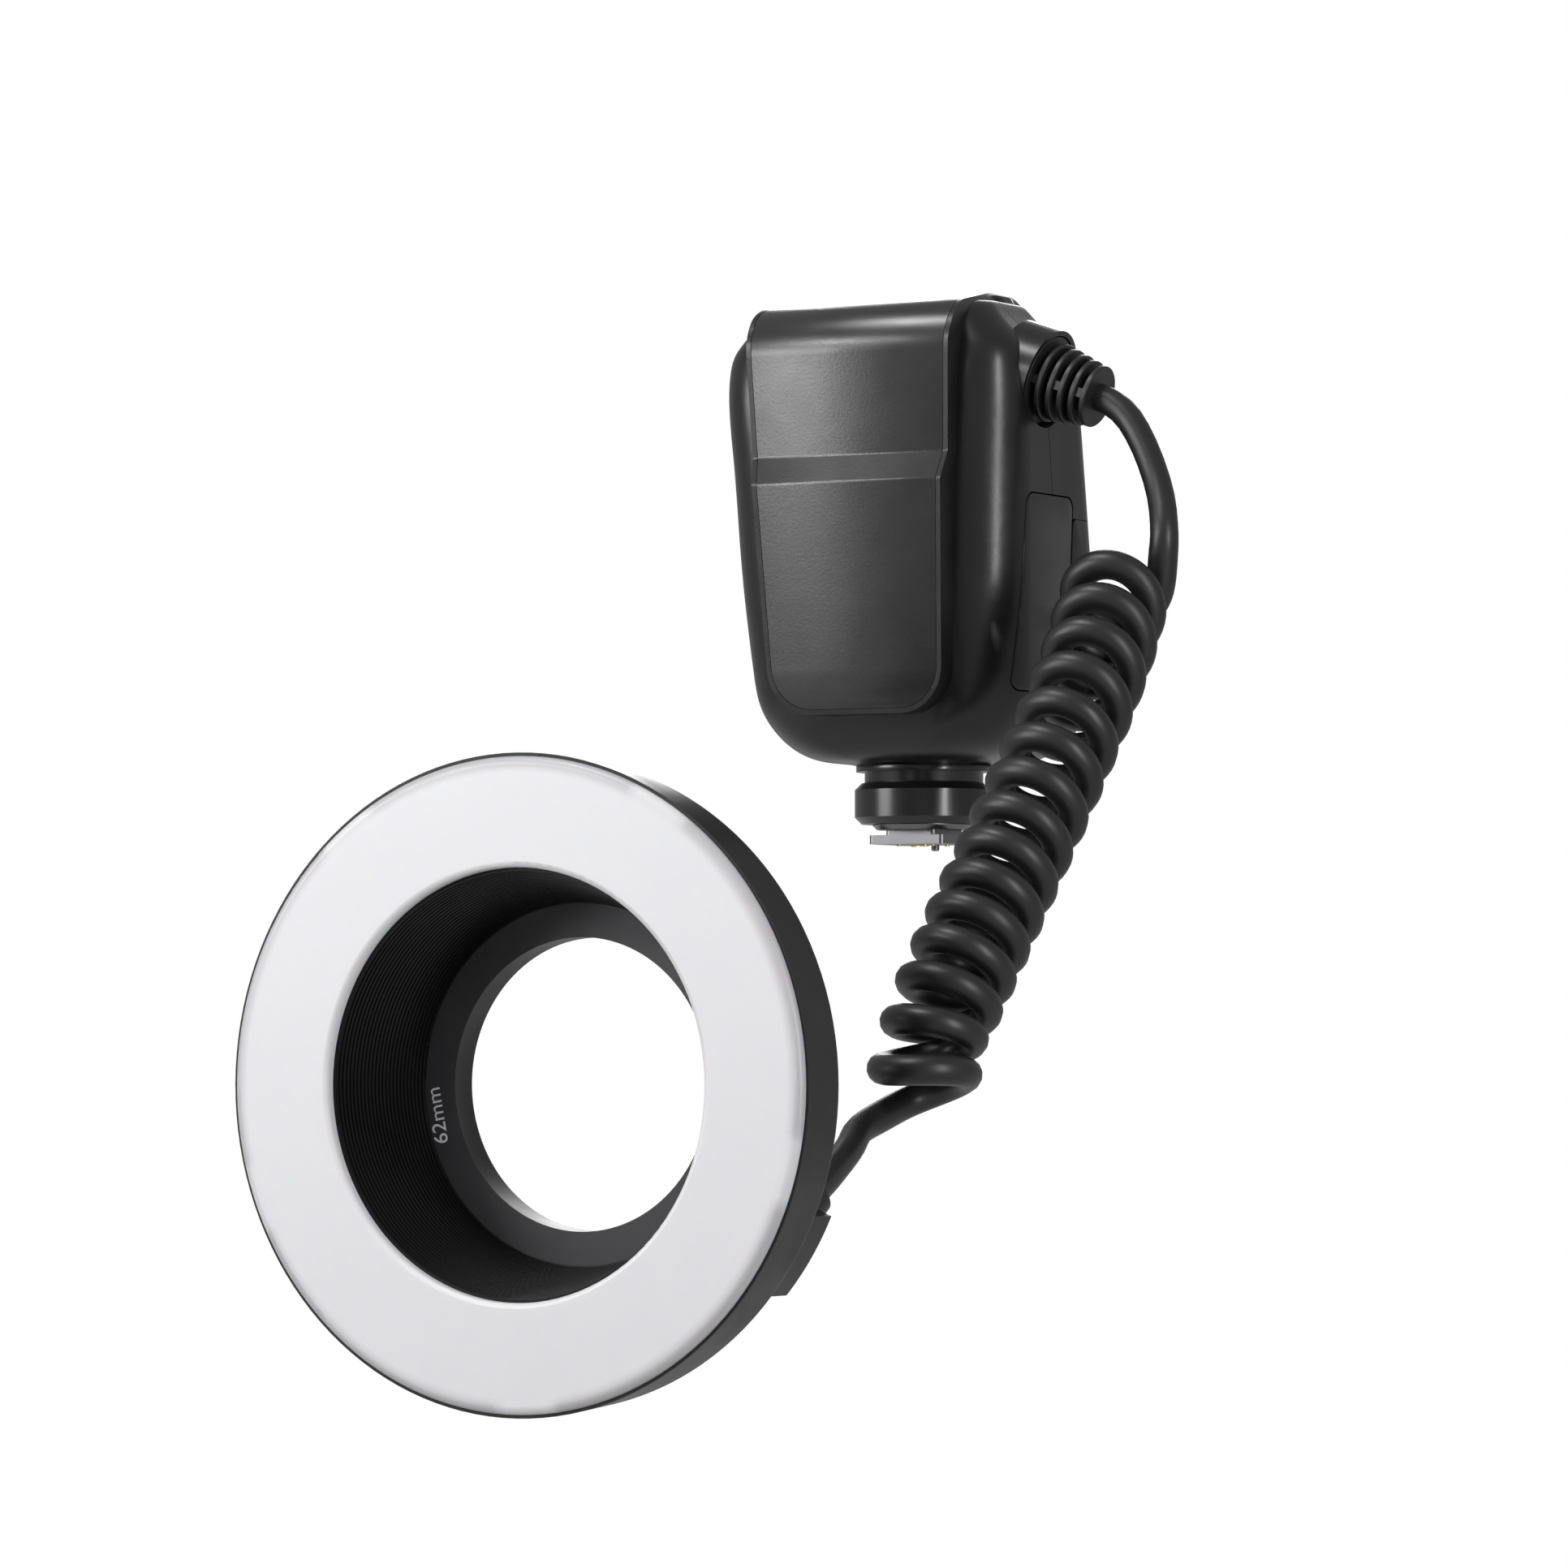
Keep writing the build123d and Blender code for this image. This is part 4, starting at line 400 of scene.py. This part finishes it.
lower_points = [
    (0.04845, -0.11472, -0.05956),
    (0.04720, -0.12121, -0.06187),
    (0.0492, -0.1275, -0.0652),
    (0.0510, -0.1395, -0.0702),
    (0.0516, -0.1452, -0.0727),
    (0.05207, -0.14976, -0.07435),
]


def station_slope(j):
    """How fast a station's values change with the turn."""
    low = coil_stations[max(j - 1, 0)]
    high = coil_stations[min(j + 1, len(coil_stations) - 1)]
    span = high[0] - low[0]
    return [(b - a) / span for a, b in zip(low[1] + low[2], high[1] + high[2])]


def coil_point(turn):
    """A point of the coil's centre line at a turn."""
    passed = sum(1 for row in coil_stations if row[0] <= turn)
    i = min(max(passed - 1, 0), len(coil_stations) - 2)
    first, second = coil_stations[i], coil_stations[i + 1]
    span = second[0] - first[0]
    u = (turn - first[0]) / span
    rise = 3 * u**2 - 2 * u**3
    leave = u**3 - 2 * u**2 + u
    arrive = u**3 - u**2
    rows = zip(first[1] + first[2], second[1] + second[2], station_slope(i), station_slope(i + 1))
    values = [a + (b - a) * rise + (m * leave + n * arrive) * span for a, b, m, n in rows]
    centre, down = Vector(values[:3]), Vector(values[3:]).normalized()
    across = (coil_side - down * coil_side.dot(down)).normalized()
    along = down.cross(across)
    angle = math.pi / 2 - 2 * math.pi * turn
    return centre + (across * math.cos(angle) + along * math.sin(angle)) * coil_radius


def curly_cord():
    """The whole cord as one spline: free stretch, coil, free stretch."""
    steps = round((coil_end_turn - coil_start_turn) * coil_points_per_turn)
    points = [Vector(p) for p in upper_points]
    points += [coil_point(coil_start_turn + i / coil_points_per_turn) for i in range(steps + 1)]
    points += [Vector(p) for p in lower_points]
    curve = bpy.data.curves.new("curly_cord", "CURVE")
    curve.dimensions = "3D"
    curve.resolution_u = 3
    curve.bevel_depth = cord_radius
    curve.bevel_resolution = 5
    curve.use_fill_caps = True
    spline = curve.splines.new("NURBS")
    spline.points.add(len(points) - 1)
    for place, point in zip(spline.points, points):
        place.co = (*point, 1.0)
        place.radius = 1.0
    for index in range(len(upper_points) - 1):
        spline.points[index].radius = free_radius_share
        spline.points[-1 - index].radius = free_radius_share
    spline.order_u = 3
    spline.use_endpoint_u = True
    curve.materials.append(cord_rubber)
    cord = bpy.data.objects.new("curly_cord", curve)
    scene.collection.objects.link(cord)
    return cord


cord = curly_cord()
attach(cord, "unit")
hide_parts("cord_upper_lead", "cord_coil", "cord_lower_lead")


# The adapter's filter thread, as ridges round its rear tube
def thread_ridges():
    """Closed ridges of the thread's pitch round its plain ring."""
    tube_front, tube_rear = -0.14875, -0.14535
    radius, height, pitch = 0.03099, 0.00026, 0.00075
    run_in = 0.0002
    crest_start_share, crest_end_share = 0.4, 0.6
    segments = 144
    rings = []
    start = tube_front + run_in
    while start + pitch < tube_rear:
        rings += [(radius, start), (radius + height, start + crest_start_share * pitch)]
        rings += [(radius + height, start + crest_end_share * pitch), (radius, start + pitch)]
        start += pitch
    vertices = []
    for reach, y in rings:
        for i in range(segments):
            angle = 2 * math.pi * i / segments
            vertices.append((reach * math.cos(angle), y, lens_axis_z + reach * math.sin(angle)))
    faces = []
    for ring in range(0, len(rings), 4):
        for step in range(4):
            a = (ring + step) * segments
            b = (ring + (step + 1) % 4) * segments
            for i in range(segments):
                after = (i + 1) % segments
                faces.append([a + i, a + after, b + after, b + i])
    mesh = bpy.data.meshes.new("thread_ridges")
    mesh.from_pydata(vertices, [], faces)
    mesh.materials.append(adapter_anodised)
    ridges = bpy.data.objects.new("thread_ridges", mesh)
    scene.collection.objects.link(ridges)
    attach(ridges, "adapter")


thread_ridges()


# Printed marks
def size_mark():
    """The thread's size, printed on the adapter's front face."""
    height, clearance = 0.0047, 0.00001
    left, below_axis = 0.0341, 0.0065
    face_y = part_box("bore_baffle")[1].y
    right = Vector((-0.187, 0, 0.982)).normalized()
    up = Vector((-0.982, 0, -0.187)).normalized()
    bpy.ops.object.select_all(action="DESELECT")
    bpy.ops.object.text_add()
    mark = bpy.context.object
    mark.name = "size_mark"
    mark.data.body = "62mm"
    mark.data.size = height
    mark.data.align_x = "CENTER"
    mark.data.align_y = "CENTER"
    mark.data.extrude = print_thickness
    bpy.ops.object.convert(target="MESH")
    mark = bpy.context.object
    turn = Matrix((right, up, right.cross(up))).transposed().to_4x4()
    middle = Vector((-left, face_y - clearance, lens_axis_z - below_axis))
    mark.data.transform(Matrix.Translation(middle) @ turn)
    mark.data.materials.clear()
    mark.data.materials.append(mark_white)
    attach(mark, "adapter")


size_mark()

rear_out = Vector((0.0, math.cos(rear_tilt), math.sin(rear_tilt)))
rear_up = Vector((0.0, -math.sin(rear_tilt), math.cos(rear_tilt)))
rear_right = Vector((-1.0, 0.0, 0.0))


def rear_face(name):
    """The middle of a piece's rear face."""
    piece = nodes[name]
    points = [piece.matrix_world @ vertex.co for vertex in piece.data.vertices]
    low = Vector([min(p[i] for p in points) for i in range(3)])
    high = Vector([max(p[i] for p in points) for i in range(3)])
    centre = (low + high) / 2
    return centre + rear_out * (max(p.dot(rear_out) for p in points) - centre.dot(rear_out))


def rear_print(name, piece, body, shapes):
    """Printed shapes on a piece's rear face, each a list of points across and up in millimetres."""
    seat = rear_face(piece)
    vertices, faces = [], []
    for shape in shapes:
        start = len(vertices)
        count = len(shape)
        for lift in (0.0, print_thickness):
            for across, up in shape:
                vertices.append(seat + rear_right * across / 1000 + rear_up * up / 1000 + rear_out * lift)
        faces.append([start + count + i for i in range(count)])
        faces.append([start + count - 1 - i for i in range(count)])
        for i in range(count):
            after = (i + 1) % count
            faces.append([start + i, start + after, start + count + after, start + count + i])
    mesh = bpy.data.meshes.new(name)
    mesh.from_pydata(vertices, [], faces)
    mesh.materials.append(mark_white)
    mark = bpy.data.objects.new(name, mesh)
    scene.collection.objects.link(mark)
    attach(mark, body)


def bar(left, low, width, height):
    """A rectangle's corners."""
    return [(left, low), (left + width, low), (left + width, low + height), (left, low + height)]


def disc(radius, count=20):
    """A circle's points."""
    angles = [2 * math.pi * i / count for i in range(count)]
    return [(radius * math.cos(a), radius * math.sin(a)) for a in angles]


def spoke(angle, inner, outer, half):
    """A short bar that points away from the middle."""
    c, s = math.cos(math.radians(angle)), math.sin(math.radians(angle))
    corners = [(inner, -half), (outer, -half), (outer, half), (inner, half)]
    return [(x * c - y * s, x * s + y * c) for x, y in corners]


# Key marks in millimetres, drawn about the middle of each key
mark_width = 2.4
mark_half = mark_width / 2
menu_bars = [bar(-mark_half, low, mark_width, 0.3) for low in (-0.9, -0.15, 0.6)]
mode_blocks = [bar(left, -0.7, 1.0, 1.4) for left in (-mark_half, 0.2)]
bolt = [(0.2, 1.3), (-0.9, -0.2), (-0.1, -0.2), (-0.3, -1.3), (0.9, 0.3), (0.1, 0.3)]
sun = [disc(0.55)] + [spoke(45 * i, 0.85, 1.25, 0.12) for i in range(8)]
key_marks = {
    "menu_key": menu_bars,
    "mode_key": mode_blocks,
    "test_key": [bolt],
    "lamp_key": sun,
    "set_button": [disc(0.7)],
}
for number in range(1, 5):
    key_marks["function_key_" + str(number)] = [bar(-mark_half, -0.2, mark_width, 0.4)]
for key, shapes in key_marks.items():
    rear_print(key + "_mark", key, key, shapes)

# Camera at the photograph's angle
camera_place = (0.74596, -1.44273, -0.04405)
camera_pitch, camera_turn = 2.03, 28.44
sensor_width, focal_length = 36.0, 167.70
camera_data = bpy.data.cameras.new("camera")
camera_data.sensor_width = sensor_width
camera_data.sensor_fit = "HORIZONTAL"
camera_data.lens = focal_length
camera = bpy.data.objects.new("camera", camera_data)
camera.location = camera_place
camera.rotation_euler = (math.radians(90 + camera_pitch), 0.0, math.radians(camera_turn))
scene.collection.objects.link(camera)
scene.camera = camera

# Floor, world and soft studio light
gloss_share = 0.2


def white_share(tree):
    """How far a ray sees the white round the object: wholly, or by a share in a gloss."""
    rays = tree.nodes.new("ShaderNodeLightPath")
    seen = add_math(tree, "MAXIMUM", rays.outputs["Is Camera Ray"], rays.outputs["Is Transmission Ray"])
    shine = add_math(tree, "MULTIPLY", rays.outputs["Is Glossy Ray"], gloss_share)
    return add_math(tree, "MAXIMUM", seen, shine)


def pale_floor():
    """A plain floor that shows as white to the camera and keeps the shadow."""
    floor_side, floor_z = 2.0, -0.24
    floor_grey, floor_roughness, floor_glow = (0.4, 0.4, 0.4), 0.8, 0.9
    bpy.ops.object.select_all(action="DESELECT")
    bpy.ops.mesh.primitive_plane_add(size=floor_side, location=(0.0, 0.0, floor_z))
    floor = bpy.context.object
    floor.name = "floor"
    material, tree, shader = new_material("floor_white", floor_grey, floor_roughness)
    glow = tree.nodes.new("ShaderNodeEmission")
    glow.inputs["Color"].default_value = white
    tree.links.new(add_math(tree, "MULTIPLY", white_share(tree), floor_glow), glow.inputs["Strength"])
    summed = tree.nodes.new("ShaderNodeAddShader")
    tree.links.new(shader.outputs["BSDF"], summed.inputs[0])
    tree.links.new(glow.outputs["Emission"], summed.inputs[1])
    tree.links.new(summed.outputs["Shader"], tree.nodes["Material Output"].inputs["Surface"])
    floor.data.materials.append(material)


def studio_world():
    """Even light all round, white where the camera looks past the object."""
    fill_strength, white_strength = 0.2, 1.0
    world = bpy.data.worlds.new("studio")
    scene.world = world
    world.use_nodes = True
    tree = world.node_tree
    fill = tree.nodes["Background"]
    fill.inputs["Color"].default_value = white
    fill.inputs["Strength"].default_value = fill_strength
    past = tree.nodes.new("ShaderNodeBackground")
    past.inputs["Color"].default_value = white
    past.inputs["Strength"].default_value = white_strength
    mixed = tree.nodes.new("ShaderNodeMixShader")
    tree.links.new(white_share(tree), mixed.inputs["Fac"])
    tree.links.new(fill.outputs["Background"], mixed.inputs[1])
    tree.links.new(past.outputs["Background"], mixed.inputs[2])
    tree.links.new(mixed.outputs["Shader"], tree.nodes["World Output"].inputs["Surface"])


def soft_lamp(name, place, width, height, power):
    """A rectangular soft light that faces the middle of the object."""
    data = bpy.data.lights.new(name, "AREA")
    data.shape = "RECTANGLE"
    data.size = width
    data.size_y = height
    data.energy = power
    lamp = bpy.data.objects.new(name, data)
    lamp.location = place
    aim = object_middle - Vector(place)
    lamp.rotation_euler = aim.to_track_quat("-Z", "Y").to_euler()
    scene.collection.objects.link(lamp)


pale_floor()
studio_world()

# Soft lights: place, width, height and watts
object_middle = Vector((0.0, -0.09, 0.0))
lamps = [
    ("high_light", (-0.3, -0.6, 1.2), 0.5, 0.25, 7.0),
    ("left_light", (-0.97, -1.1, 0.22), 0.6, 0.3, 6.5),
    ("strip_light", (-0.7, -1.17, 0.62), 0.7, 0.04, 5.5),
    ("rear_light", (-0.55, 1.25, 0.55), 0.6, 0.6, 8.0),
    ("right_light", (1.19, -0.65, 0.2), 0.08, 0.9, 8.5),
]
for name, place, width, height, power in lamps:
    soft_lamp(name, place, width, height, power)

scene.view_settings.view_transform = "Standard"
